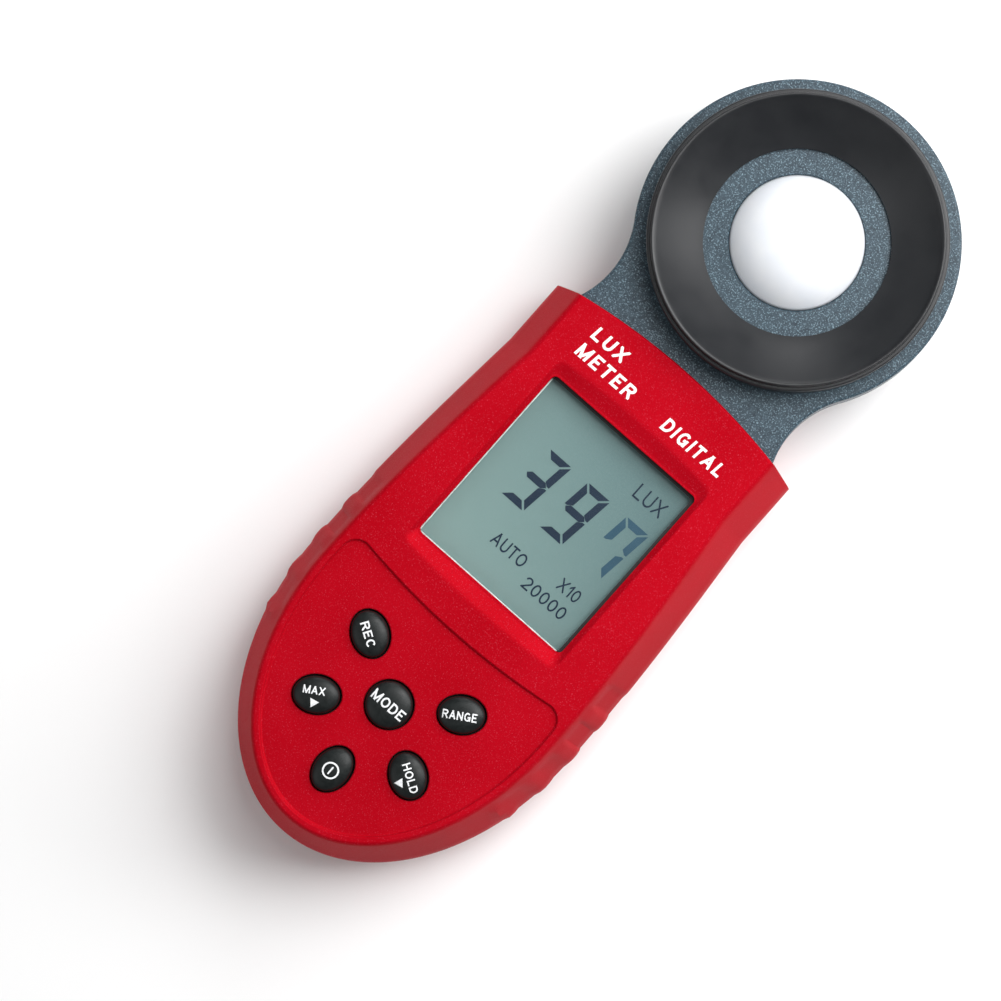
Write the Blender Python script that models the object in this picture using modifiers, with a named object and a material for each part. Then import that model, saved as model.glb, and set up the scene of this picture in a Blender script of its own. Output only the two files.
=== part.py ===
"""Handheld light meter with a fixed round sensor head.

The meter lies on its back: +X to its right, +Y towards the head, +Z out of the front.
The origin is the middle of its box, on the surface that it lies on.
Everything is in metres.
"""

import math

import bmesh
import bpy
from mathutils import Matrix

# ---- Casing: the red body, made of a front and a rear cover
BODY_LENGTH = 0.1023      # lower end to the shoulder corners
PARTING_HEIGHT = 0.0110   # where the two covers meet, and where the body is widest
SHOULDER_WIDTH = 0.0534
HIP_WIDTH = 0.0590
END_LENGTH = 0.0416       # the half-ellipse that closes the lower end
FLARE_DROP = 0.0123       # shoulder to where the sides start to widen
TOP_CROWN = 0.0030        # how far the upper edge bows up in the middle
SHOULDER_SLOPE = 0.0050   # the side slopes in by this much up to the face, at the shoulder
HIP_SLOPE = 0.0042
END_SLOPE = 0.0038
EDGE_ROUND = 0.0006       # the soft edge round the front face
STRIP_HEIGHT = 0.0035     # the steep strip above the parting line
STRIP_SLOPE = 0.10        # share of the side's slope that the strip takes
EDGE_SLOPE = 0.93         # share of it reached where the soft edge starts
BACK_ROUND = 0.0042       # how far the back curves in
BACK_SQUARENESS = 2.6     # exponent of that curve: 2 is round, more is squarer
WALL = 0.0020
PARTING_GAP = 0.0003

# ---- Clearances
GAP = 0.0003              # between pieces that touch
KEY_CLEARANCE = 0.0003
SLIDE_CLEARANCE = 0.0003
SCREW_CLEARANCE = 0.0003

# ---- Head: the grey disc and neck
NECK_REACH = 0.0319       # shoulder corners to the disc's centre
HEAD_RADIUS = 0.0280
HEAD_LOW = 0.0120         # underside of the head
HEAD_PARTING = 0.0178     # where its two halves meet
HEAD_WALL = 0.0018
HEAD_EDGE = 0.0005
HEAD_BACK_EDGE = 0.0018
COVER_LIP = 0.0012        # thickness of the red lip over the neck
NECK_WAIST = 0.0412
NECK_FILLET = 0.0170
TONGUE_WIDTH = 0.0440
TONGUE_DEPTH = 0.0050     # how far the neck runs into the body

# ---- Sensor
BEZEL_RADIUS = 0.0256
BEZEL_RIM = 0.0245
BEZEL_THROAT = 0.0161
BEZEL_HEIGHT = 0.0070
BEZEL_LIP = 0.0006
DOME_RADIUS = 0.0115
DOME_RISE = 0.0060
DOME_SHELL = 0.0015
DOME_FLANGE = 0.0018
DOME_FLANGE_HEIGHT = 0.0012
SENSOR_BOARD_RADIUS = 0.0182
SENSOR_BOARD_THICKNESS = 0.0012
SENSOR_POST_RADIUS = 0.0017
SENSOR_POST_LENGTH = 0.0040
DIODE_SIZE = 0.0050
DIODE_HEIGHT = 0.0012
FILTER_RADIUS = 0.0055
FILTER_HEIGHT = 0.0010
HOLDER_WALL = 0.0013

# ---- Display
WINDOW_DROP = 0.0297      # shoulder corners to the window's centre
WINDOW_WIDTH = 0.0321
WINDOW_HEIGHT = 0.0352
WINDOW_CORNER = 0.0009
SURROUND_DEPTH = 0.0008
SURROUND_SIDE = 0.0010    # width of the slope beside the window
SURROUND_END = 0.0024     # width of the slope above and below it
SURROUND_BOW = 0.0008
LENS_MARGIN = 0.0005
LENS_THICKNESS = 0.0010
GASKET_WIDTH = 0.0013
LCD_MARGIN = 0.0012
LCD_THICKNESS = 0.0020
LCD_DROP = 0.0004
BRACKET_WALL = 0.0014
ZEBRA_HEIGHT = 0.0014
ZEBRA_WIDTH = 0.0019

# ---- Main board
BOARD_CLEARANCE = 0.0020  # battery chamber's roof to the board
BOARD_WIDTH = 0.0340
BOARD_THICKNESS = 0.0016
BOARD_END_RISE = 0.0107   # lower end of the body to the board's end
BOARD_CORNER = 0.0120
BOARD_MARGIN = 0.0021     # the board runs on past the display by this much
POST_RADIUS = 0.0022
POST_X = 0.0140
POST_MARGIN = 0.0037      # display bracket to the board's screws
CHIP_SIZE = 0.0120
CHIP_HEIGHT = 0.0016
COMPONENT_X = 0.0115      # middle of the board to the round components
CRYSTAL_X = 0.0104
CRYSTAL_WIDTH = 0.0038
CRYSTAL_LENGTH = 0.0100
CRYSTAL_HEIGHT = 0.0032
CRYSTAL_REACH = 0.0060    # battery chamber to the crystal
CAPACITOR_RADIUS = 0.0025
CAPACITOR_HEIGHT = 0.0052
CAPACITOR_REACH = 0.0085
TRIMMER_RADIUS = 0.0022
TRIMMER_HEIGHT = 0.0026
TRIMMER_REACH = 0.0150

# ---- Keypad
KEYPAD_RISE = 0.0294      # lower end of the body to the middle key
KEY_SPREAD = 0.0104       # middle key to an outer key, across
KEY_STEP = 0.0069         # middle key to an outer key, along
POWER_STEP = 0.0146       # middle key to the power key
OUTER_KEY_LENGTH = 0.0081
OUTER_KEY_WIDTH = 0.0064
MIDDLE_KEY_DIAMETER = 0.0081
POWER_KEY_LENGTH = 0.0083
POWER_KEY_WIDTH = 0.0062
KEY_PROUD = 0.0016        # above the recessed panel
KEY_EDGE = 0.0009
KEY_TRAVEL = 0.0010
KEY_FLANGE = 0.0008
KEY_FLANGE_HEIGHT = 0.0010
PLUNGER_RADIUS = 0.0022
PANEL_DEPTH = 0.0006
PANEL_RIM = 0.0014        # face left standing round the recessed panel
PANEL_RISE = 0.0165       # middle key to the panel's upper edge at the middle
PANEL_SAG = 0.0021
PANEL_CORNER = 0.0030
MAT_THICKNESS = 0.0009
MAT_MARGIN = 0.0030

# ---- Batteries and their door
CELL_DIAMETER = 0.0105
CELL_LENGTH = 0.0445
CELL_SPACING = 0.0005
CELL_COUNT = 3
NUB_RADIUS = 0.0019
NUB_LENGTH = 0.0010
SPRING_LENGTH = 0.0042
SPRING_WIRE = 0.0007
SPRING_TURNS = 3
SPRING_BASE = 0.40        # the coil's radius at its contact, as a share of the contact's size
SPRING_TAPER = 0.16       # how much of that share it loses towards the cell
CONTACT_THICKNESS = 0.0004
CONTACT_SIZE = 0.0084
CHAMBER_MARGIN = 0.0005   # from the chamber's lower corners to the curved casing
CHAMBER_WALL = 0.0013
DOOR_EDGE_GAP = 0.0008    # from the chamber to the door's edge
DOOR_TONGUE = 0.0008
DOOR_TONGUE_HEIGHT = 0.0006
DOOR_RIB_COUNT = 6
DOOR_RIB_PITCH = 0.0020
DOOR_RIB_DEPTH = 0.0005
DOOR_RIB_START = 3        # rib pitches from the door's upper edge to its first rib
END_FLOOR_INSET = 0.7     # wall thicknesses that the floor past the chamber stays in from the outside
LEAD_DIAMETER = 0.0011

# ---- Screws
CASE_SCREW_HEAD = 0.0019
CASE_SCREW_HEAD_HEIGHT = 0.0014
CASE_SCREW_SHANK = 0.0010
CASE_BOSS_RADIUS = 0.0032
CASE_BOSS_INSET = 0.0063
CASE_SEAT_HEIGHT = 0.0060  # where the head seats, above the back
CASE_SCREW_LENGTH = 0.0085
UPPER_SCREW_DROP = 0.0102
LOWER_SCREW_DROP = 0.0030
HEAD_BOSS_RADIUS = 0.0026
HEAD_SCREW_LENGTH = 0.0085
SMALL_SCREW_HEAD = 0.0017
SMALL_SCREW_HEAD_HEIGHT = 0.0011
SMALL_SCREW_SHANK = 0.0008
SMALL_SCREW_LENGTH = 0.0042
CROSS_WIDTH = 0.0005
CROSS_REACH = 0.55        # half the cross recess, as a share of the head's radius
CROSS_TOP = 0.45          # where the recess stops, as a share of the head's height
HEAD_CROWN = 0.8          # radius of a screw head's flat top, as a share of its radius
HEAD_SIDE = 0.6           # its straight side, as a share of its height

# ---- Smoothness of round shapes
SIDE_STEPS = 7
END_STEPS = 14
TOP_STEPS = 8
BIG_ROUND = 40
MID_ROUND = 20
SMALL_ROUND = 12
DOME_STEPS = 6
COIL_STEPS = 10
FILLET_STEPS = 10
CORNER_STEPS = 3
BOARD_STEPS = 8
LEAD_STEPS = 6
BACK_STEPS = 6

# ---- Places that follow from the sizes
OVERALL_LENGTH = BODY_LENGTH + NECK_REACH + HEAD_RADIUS
Y_END = -OVERALL_LENGTH / 2
Y_PAST_END = Y_END * 1.2      # where tools that run out at the lower end stop
Y_SHOULDER = Y_END + BODY_LENGTH
Y_HEAD = Y_SHOULDER + NECK_REACH
Y_HIP = Y_END + END_LENGTH
Y_FLARE = Y_SHOULDER - FLARE_DROP
Y_WINDOW = Y_SHOULDER - WINDOW_DROP
Y_KEYS = Y_END + KEYPAD_RISE
Y_BOARD_TOP = Y_WINDOW + WINDOW_HEIGHT / 2 + LCD_MARGIN + BOARD_MARGIN
Y_POSTS = Y_WINDOW - WINDOW_HEIGHT / 2 - LCD_MARGIN - GAP - BRACKET_WALL - POST_MARGIN
Z_STRIP_TOP = PARTING_HEIGHT + STRIP_HEIGHT
Z_CELL = WALL + 2 * GAP + CELL_DIAMETER / 2
Z_CHAMBER_TOP = Z_CELL + CELL_DIAMETER / 2 + GAP
Z_BOARD_LOW = Z_CHAMBER_TOP + CHAMBER_WALL + BOARD_CLEARANCE
Z_BOARD_TOP = Z_BOARD_LOW + BOARD_THICKNESS
Z_ZEBRA_LOW = Z_BOARD_TOP + GAP
Z_LCD_LOW = Z_ZEBRA_LOW + ZEBRA_HEIGHT + GAP
Z_LCD_TOP = Z_LCD_LOW + LCD_THICKNESS
Z_LENS_TOP = Z_LCD_TOP + LCD_DROP + LENS_THICKNESS
Z_CEILING = Z_LENS_TOP + GAP
BODY_HEIGHT = Z_CEILING + WALL
Z_PANEL = BODY_HEIGHT - PANEL_DEPTH
Z_NECK_TOP = BODY_HEIGHT - COVER_LIP - GAP
Z_KEY_LOW = Z_BOARD_TOP + GAP + KEY_TRAVEL
Z_FLANGE_TOP = Z_CEILING - PANEL_DEPTH - GAP
CELL_PITCH = CELL_DIAMETER + CELL_SPACING
CHAMBER_HALF = (CELL_COUNT * CELL_PITCH + CELL_SPACING) / 2
CHAMBER_SLOPE = 0.12       # share of the side's slope at the height of the chamber's roof
CHAMBER_REACH = (END_LENGTH - END_SLOPE * CHAMBER_SLOPE - WALL) * math.sqrt(
    1 - ((CHAMBER_HALF + CHAMBER_WALL + GAP) / (HIP_WIDTH / 2 - HIP_SLOPE * CHAMBER_SLOPE - WALL)) ** 2)
CHAMBER_LENGTH = CELL_LENGTH + SPRING_LENGTH + 2 * CONTACT_THICKNESS + 5 * GAP
Y_CHAMBER = Y_HIP - CHAMBER_REACH + CHAMBER_WALL + CHAMBER_MARGIN
Y_CHAMBER_TOP = Y_CHAMBER + CHAMBER_LENGTH
Y_DOOR_TOP = Y_CHAMBER_TOP + DOOR_EDGE_GAP
DOOR_HALF = CHAMBER_HALF - SLIDE_CLEARANCE
HEAD_CEILING = Z_NECK_TOP - HEAD_WALL
HEAD_FLOOR = HEAD_LOW + HEAD_WALL
Z_DOME_FLANGE = HEAD_CEILING - GAP - DOME_FLANGE_HEIGHT
Z_SENSOR_TOP = HEAD_CEILING - SENSOR_POST_LENGTH - GAP
Z_SENSOR_LOW = Z_SENSOR_TOP - SENSOR_BOARD_THICKNESS

COLOURS = {
    "red": ((0.60, 0.006, 0.018), 0.42, 0.0),
    "head_grey": ((0.075, 0.105, 0.135), 0.40, 0.35),
    "black_satin": ((0.022, 0.024, 0.028), 0.45, 0.0),
    "white_dome": ((0.86, 0.88, 0.90), 0.50, 0.0),
    "key_rubber": ((0.018, 0.022, 0.022), 0.55, 0.0),
    "clear": ((0.92, 0.95, 0.95), 0.08, 0.0),
    "lcd": ((0.22, 0.34, 0.31), 0.25, 0.0),
    "board": ((0.02, 0.16, 0.06), 0.50, 0.0),
    "chip": ((0.02, 0.02, 0.02), 0.50, 0.0),
    "steel": ((0.60, 0.60, 0.60), 0.30, 1.0),
    "silicone": ((0.30, 0.30, 0.30), 0.60, 0.0),
    "cell": ((0.05, 0.10, 0.22), 0.35, 0.2),
    "filter": ((0.10, 0.35, 0.22), 0.10, 0.0),
    "lead_red": ((0.55, 0.02, 0.02), 0.50, 0.0),
    "lead_black": ((0.02, 0.02, 0.02), 0.50, 0.0),
}


# ---- Scene and collections

def clear_scene():
    for obj in list(bpy.data.objects):
        bpy.data.objects.remove(obj, do_unlink=True)
    for collection in list(bpy.data.collections):
        bpy.data.collections.remove(collection)


def new_collection(name):
    collection = bpy.data.collections.new(name)
    bpy.context.scene.collection.children.link(collection)
    return collection


def new_material(slot):
    colour, roughness, metallic = COLOURS[slot]
    material = bpy.data.materials.get(slot) or bpy.data.materials.new(slot)
    material.use_nodes = True
    shader = material.node_tree.nodes["Principled BSDF"]
    shader.inputs["Base Color"].default_value = (*colour, 1.0)
    shader.inputs["Roughness"].default_value = roughness
    shader.inputs["Metallic"].default_value = metallic
    material.diffuse_color = (*colour, 1.0)
    return material


clear_scene()
PARTS = new_collection("light_meter")
CUTTERS = new_collection("cutters")


# ---- Ways of making a solid

def add_object(name, mesh, slot=None):
    """A finished part when it has a material slot, otherwise a tool for a Boolean."""
    obj = bpy.data.objects.new(name, mesh)
    if slot:
        mesh.materials.append(new_material(slot))
        mesh.shade_smooth()
        mesh.set_sharp_from_angle(angle=math.radians(35))
        PARTS.objects.link(obj)
    else:
        obj.hide_render = True
        obj.display_type = "WIRE"
        CUTTERS.objects.link(obj)
    return obj


def mesh_from(build, name):
    bm = bmesh.new()
    build(bm)
    mesh = bpy.data.meshes.new(name)
    bm.to_mesh(mesh)
    bm.free()
    return mesh


def box(name, low, high, slot=None):
    """A box between two corners."""
    size = [high[i] - low[i] for i in range(3)]
    middle = [(high[i] + low[i]) / 2 for i in range(3)]
    place = Matrix.Translation(middle) @ Matrix.Diagonal((*size, 1))

    def build(bm):
        bmesh.ops.create_cube(bm, size=1, matrix=place)

    return add_object(name, mesh_from(build, name), slot)


def cylinder(name, x, y, low, high, radius, slot=None, steps=SMALL_ROUND):
    """An upright cylinder."""
    place = Matrix.Translation((x, y, (low + high) / 2))

    def build(bm):
        bmesh.ops.create_cone(bm, cap_ends=True, segments=steps, radius1=radius, radius2=radius,
                              depth=high - low, matrix=place)

    return add_object(name, mesh_from(build, name), slot)


def loft(name, rings, slot=None):
    """A closed solid through rings that have the same number of points, lowest ring first."""

    def build(bm):
        rows = [[bm.verts.new(point) for point in ring] for ring in rings]
        count = len(rows[0])
        for lower, upper in zip(rows, rows[1:]):
            for i in range(count):
                j = (i + 1) % count
                bm.faces.new((lower[i], lower[j], upper[j], upper[i]))
        bm.faces.new(list(reversed(rows[0])))
        bm.faces.new(rows[-1])
        bmesh.ops.recalc_face_normals(bm, faces=bm.faces)

    return add_object(name, mesh_from(build, name), slot)


def plate(name, points, low, high, slot=None):
    """A flat outline with a thickness, from a filled 2D curve."""
    curve = bpy.data.curves.new(name, "CURVE")
    curve.dimensions = "2D"
    curve.fill_mode = "BOTH"
    curve.extrude = (high - low) / 2
    spline = curve.splines.new("POLY")
    spline.points.add(len(points) - 1)
    for target, (x, y) in zip(spline.points, points):
        target.co = (x, y, 0, 1)
    spline.use_cyclic_u = True
    return from_curve(name, curve, (low + high) / 2, slot)


def wire(name, points, diameter, slot):
    """A wire through points, as a poly curve with a round section."""
    curve = bpy.data.curves.new(name, "CURVE")
    curve.dimensions = "3D"
    curve.bevel_depth = diameter / 2
    curve.bevel_resolution = 1
    curve.use_fill_caps = True
    spline = curve.splines.new("POLY")
    spline.points.add(len(points) - 1)
    for target, point in zip(spline.points, points):
        target.co = (*point, 1)
    return from_curve(name, curve, 0, slot)


def from_curve(name, curve, height, slot):
    """The curve's mesh with its caps welded, lifted to a height."""
    holder = bpy.data.objects.new(name + "_curve", curve)
    bpy.context.scene.collection.objects.link(holder)
    graph = bpy.context.evaluated_depsgraph_get()
    mesh = bpy.data.meshes.new_from_object(holder.evaluated_get(graph))
    bpy.data.objects.remove(holder, do_unlink=True)
    bpy.data.curves.remove(curve)
    mesh.name = name
    bm = bmesh.new()
    bm.from_mesh(mesh)
    bmesh.ops.remove_doubles(bm, verts=bm.verts, dist=0.000001)
    bmesh.ops.recalc_face_normals(bm, faces=bm.faces)
    bmesh.ops.translate(bm, verts=bm.verts, vec=(0, 0, height))
    bm.to_mesh(mesh)
    bm.free()
    mesh.materials.clear()
    return add_object(name, mesh, slot)


def turned(name, profile, slot=None, steps=BIG_ROUND, place=Matrix.Identity(4)):
    """A profile of (radius, height) turned about Z, given down its outer side from the top."""

    def build(bm):
        points = [bm.verts.new((radius, 0, height)) for radius, height in profile]
        for first, second in zip(points, points[1:]):
            bm.edges.new((first, second))
        if profile[0][0] > 0:
            bm.edges.new((points[-1], points[0]))

    obj = add_object(name, mesh_from(build, name), slot)
    obj.matrix_world = place
    screw = obj.modifiers.new("turn", "SCREW")
    screw.axis = "Z"
    screw.angle = math.tau
    screw.steps = steps
    screw.render_steps = steps
    screw.use_merge_vertices = True
    screw.merge_threshold = 0.000001
    return obj


def boolean(target, tool, operation):
    modifier = target.modifiers.new(tool.name, "BOOLEAN")
    modifier.operation = operation
    modifier.solver = "EXACT"
    modifier.object = tool


def cut(target, *tools):
    for tool in tools:
        boolean(target, tool, "DIFFERENCE")


def join(target, *tools):
    for tool in tools:
        boolean(target, tool, "UNION")


def soften(target, width, segments=2, angle=40):
    bevel = target.modifiers.new("edge", "BEVEL")
    bevel.width = width
    bevel.segments = segments
    bevel.limit_method = "ANGLE"
    bevel.angle_limit = math.radians(angle)
    bevel.harden_normals = False


# ---- Outlines

def ellipse(x, y, half_length, half_width, turn=0.0, steps=MID_ROUND):
    """Points round an ellipse whose length lies along turn."""
    points = []
    for i in range(steps):
        angle = math.tau * i / steps
        along = half_length * math.cos(angle)
        across = half_width * math.sin(angle)
        points.append((x + along * math.cos(turn) - across * math.sin(turn),
                       y + along * math.sin(turn) + across * math.cos(turn)))
    return points


def rounded_rectangle(x, y, width, height, corner, steps=4):
    points = []
    for quarter, (side, end) in enumerate(((1, 1), (-1, 1), (-1, -1), (1, -1))):
        centre_x = x + side * (width / 2 - corner)
        centre_y = y + end * (height / 2 - corner)
        for i in range(steps + 1):
            angle = math.pi / 2 * (quarter + i / steps)
            points.append((centre_x + corner * math.cos(angle), centre_y + corner * math.sin(angle)))
    return points


def upper_edge(x):
    """The bowed upper edge of the body."""
    return Y_SHOULDER + TOP_CROWN * (1 - (x / (SHOULDER_WIDTH / 2)) ** 2)


def half_width(y, slope=0.0):
    """Half the body's width at y, from 0 at the widest level to 1 at the front face."""
    shoulder = SHOULDER_WIDTH / 2 - SHOULDER_SLOPE * slope
    hip = HIP_WIDTH / 2 - HIP_SLOPE * slope
    if y < Y_HIP:
        reach = END_LENGTH - END_SLOPE * slope
        return hip * math.sqrt(max(0.0, 1 - ((Y_HIP - y) / reach) ** 2))
    share = min(1.0, max(0.0, (Y_FLARE - y) / (Y_FLARE - Y_HIP)))
    return shoulder + (hip - shoulder) * math.sin(math.pi / 2 * share)


def body_outline(slope=0.0, inset=0.0):
    """The body's outline at one level, set in by inset all round."""
    corner = half_width(Y_SHOULDER, slope) - inset
    top = upper_edge(corner) - inset
    side = []
    for i in range(SIDE_STEPS + 1):
        y = top + (Y_HIP - top) * i / SIDE_STEPS
        side.append((half_width(y, slope) - inset, y))
    hip = half_width(Y_HIP, slope) - inset
    reach = END_LENGTH - END_SLOPE * slope - inset
    for i in range(1, END_STEPS + 1):
        angle = math.pi / 2 * i / END_STEPS
        side.append((hip * math.cos(angle), Y_HIP - reach * math.sin(angle)))
    side[-1] = (0.0, Y_HIP - reach)
    edge = []
    for i in range(1, TOP_STEPS):
        x = corner * (2 * i / TOP_STEPS - 1)
        edge.append((x, upper_edge(x) - inset))
    left = [(-x, y) for x, y in reversed(side[:-1])]
    return side + left + edge


def front_slope(z):
    """How far towards the face the front cover's side has sloped in at height z."""
    levels = ((PARTING_HEIGHT, 0.0), (Z_STRIP_TOP, STRIP_SLOPE),
              (BODY_HEIGHT - EDGE_ROUND, EDGE_SLOPE), (BODY_HEIGHT, 1.0))
    for (low, low_slope), (high, high_slope) in zip(levels, levels[1:]):
        if z <= high:
            return low_slope + (high_slope - low_slope) * max(0.0, z - low) / (high - low)
    return 1.0


def back_inset(z):
    """How far the back has curved in at height z."""
    share = 1 - min(1.0, z / PARTING_HEIGHT)
    return BACK_ROUND * (1 - math.sqrt(1 - share ** BACK_SQUARENESS))


def level(points, z):
    return [(x, y, z) for x, y in points]


def head_outline(inset=0.0, open_end=0.0):
    """The disc and its neck; open_end runs the neck's end on, for a cutter."""
    radius = HEAD_RADIUS - inset
    fillet = NECK_FILLET + inset
    centre_x = NECK_WAIST / 2 + NECK_FILLET
    centre_y = Y_HEAD - math.sqrt((HEAD_RADIUS + NECK_FILLET) ** 2 - centre_x ** 2)
    start = math.atan2(centre_y - Y_HEAD, centre_x)
    right = []
    for i in range(BIG_ROUND // 2 + 1):
        angle = math.pi / 2 + (start - math.pi / 2) * i / (BIG_ROUND // 2)
        right.append((radius * math.cos(angle), Y_HEAD + radius * math.sin(angle)))
    tongue = TONGUE_WIDTH / 2 - inset
    stop = math.asin((centre_x - tongue) / fillet)
    for i in range(1, FILLET_STEPS + 1):
        angle = start + math.pi + (math.pi / 2 - stop - start) * i / FILLET_STEPS
        right.append((centre_x + fillet * math.cos(angle), centre_y + fillet * math.sin(angle)))
    right.append((tongue, Y_SHOULDER - TONGUE_DEPTH - open_end))
    return [(0.0, Y_HEAD + radius)] + right[1:] + [(-x, y) for x, y in reversed(right[1:])]


# ---- Screws

def screw(name, x, y, seat, head, head_height, shank, length):
    """A pan-head screw that points up, its head's flat side seated at height seat."""
    profile = ((0, seat + length), (shank, seat + length - shank), (shank, seat), (head, seat),
               (head, seat - head_height * HEAD_SIDE), (head * HEAD_CROWN, seat - head_height),
               (0, seat - head_height))
    return turned(name, profile, "steel", SMALL_ROUND, Matrix.Translation((x, y, 0)))


def add_cross(part, seat, head, head_height):
    """The cross recess in the head of a screw that can be reached from outside."""
    x, y = part.location[:2]
    arm = (head * CROSS_REACH, CROSS_WIDTH / 2)
    for i, (across, along) in enumerate((arm, arm[::-1])):
        cut(part, box(f"{part.name}_slot_{i}", (x - across, y - along, seat - head_height * 2),
                      (x + across, y + along, seat - head_height * CROSS_TOP)))


def case_screw_places():
    """The four screws that hold the two covers together."""
    for y in (Y_SHOULDER - UPPER_SCREW_DROP, Y_HIP - LOWER_SCREW_DROP):
        for side in (-1, 1):
            yield side * (half_width(y) - CASE_BOSS_INSET), y, side


def head_screw_places():
    neck_y = Y_SHOULDER + TOP_CROWN + HEAD_BOSS_RADIUS + HEAD_WALL
    neck_x = NECK_WAIST / 2 - HEAD_WALL / 2 - HEAD_BOSS_RADIUS
    top = Y_HEAD + HEAD_RADIUS - HEAD_WALL / 2 - HEAD_BOSS_RADIUS
    return ((-neck_x, neck_y), (neck_x, neck_y), (0.0, top))


def sensor_screw_places():
    reach = SENSOR_BOARD_RADIUS - SENSOR_POST_RADIUS - GAP
    for turn in (150, 270, 30):
        angle = math.radians(turn)
        yield reach * math.cos(angle), Y_HEAD + reach * math.sin(angle)


def post_places():
    return ((-POST_X, Y_POSTS), (POST_X, Y_POSTS))


# ---- Keys

def key_places():
    """Name, centre, length, width and turn of each key."""
    turn = math.atan2(KEY_STEP, KEY_SPREAD)
    outer = (OUTER_KEY_LENGTH, OUTER_KEY_WIDTH)
    middle = (MIDDLE_KEY_DIAMETER, MIDDLE_KEY_DIAMETER)
    power = (POWER_KEY_WIDTH, POWER_KEY_LENGTH)
    return (("key_record", -KEY_SPREAD, Y_KEYS + KEY_STEP, *outer, -turn),
            ("key_range", KEY_SPREAD, Y_KEYS + KEY_STEP, *outer, turn),
            ("key_mode", 0.0, Y_KEYS, *middle, 0.0),
            ("key_max", -KEY_SPREAD, Y_KEYS - KEY_STEP, *outer, turn),
            ("key_hold", KEY_SPREAD, Y_KEYS - KEY_STEP, *outer, -turn),
            ("key_power", 0.0, Y_KEYS - POWER_STEP, *power, 0.0))


def make_key(name, x, y, length, width, turn):
    """One rubber key: plunger, flange under the cover, and the cap that shows."""
    top = Z_PANEL + KEY_PROUD
    flange = Z_FLANGE_TOP - KEY_FLANGE_HEIGHT
    sections = ((Z_KEY_LOW, PLUNGER_RADIUS, PLUNGER_RADIUS), (flange, PLUNGER_RADIUS, PLUNGER_RADIUS),
                (flange, length / 2 + KEY_FLANGE, width / 2 + KEY_FLANGE),
                (Z_FLANGE_TOP, length / 2 + KEY_FLANGE, width / 2 + KEY_FLANGE),
                (Z_FLANGE_TOP, length / 2, width / 2), (top - KEY_EDGE, length / 2, width / 2),
                (top - KEY_EDGE * 0.3, length / 2 - KEY_EDGE * 0.4, width / 2 - KEY_EDGE * 0.4),
                (top, length / 2 - KEY_EDGE * 1.4, width / 2 - KEY_EDGE * 1.4))
    rings = [level(ellipse(0, 0, a, b, turn), z) for z, a, b in sections]
    key = loft(name, rings, "key_rubber")
    key.location = (x, y, 0)


# ---- Front cover

def panel_outline():
    """The recessed keypad panel: sagging upper edge, then the face's own outline set in."""
    top = Y_KEYS + PANEL_RISE
    corner_y = top + PANEL_SAG
    half = half_width(corner_y, 1.0) - PANEL_RIM
    points = []
    for i in range(TOP_STEPS + 1):
        x = (half - PANEL_CORNER) * (1 - 2 * i / TOP_STEPS)
        points.append((x, top + PANEL_SAG * (x / half) ** 2))
    left = []
    for i in range(1, CORNER_STEPS + 1):
        angle = math.pi / 2 * i / CORNER_STEPS
        left.append((-half + PANEL_CORNER * (1 - math.sin(angle)),
                     points[-1][1] - PANEL_CORNER * (1 - math.cos(angle))))
    hip = half_width(Y_HIP, 1.0) - PANEL_RIM
    reach = END_LENGTH - END_SLOPE - PANEL_RIM
    lower = []
    for i in range(END_STEPS + 1):
        angle = math.pi / 2 * i / END_STEPS
        lower.append((-hip * math.cos(angle), Y_HIP - reach * math.sin(angle)))
    lower[-1] = (0.0, Y_HIP - reach)
    left += lower
    return points + left + [(-x, y) for x, y in reversed(left[:-1])]


def surround_ring(side, end, bow, z):
    """The slope round the window at one level; its upper and lower edges bow out."""
    half = WINDOW_WIDTH / 2 + side
    reach = WINDOW_HEIGHT / 2 + end
    points = []
    for direction in (1, -1):
        for i in range(TOP_STEPS + 1):
            x = direction * half * (1 - 2 * i / TOP_STEPS)
            y = direction * (reach + bow * (1 - (x / half) ** 2))
            points.append((x, Y_WINDOW + y, z))
    return points


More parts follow.
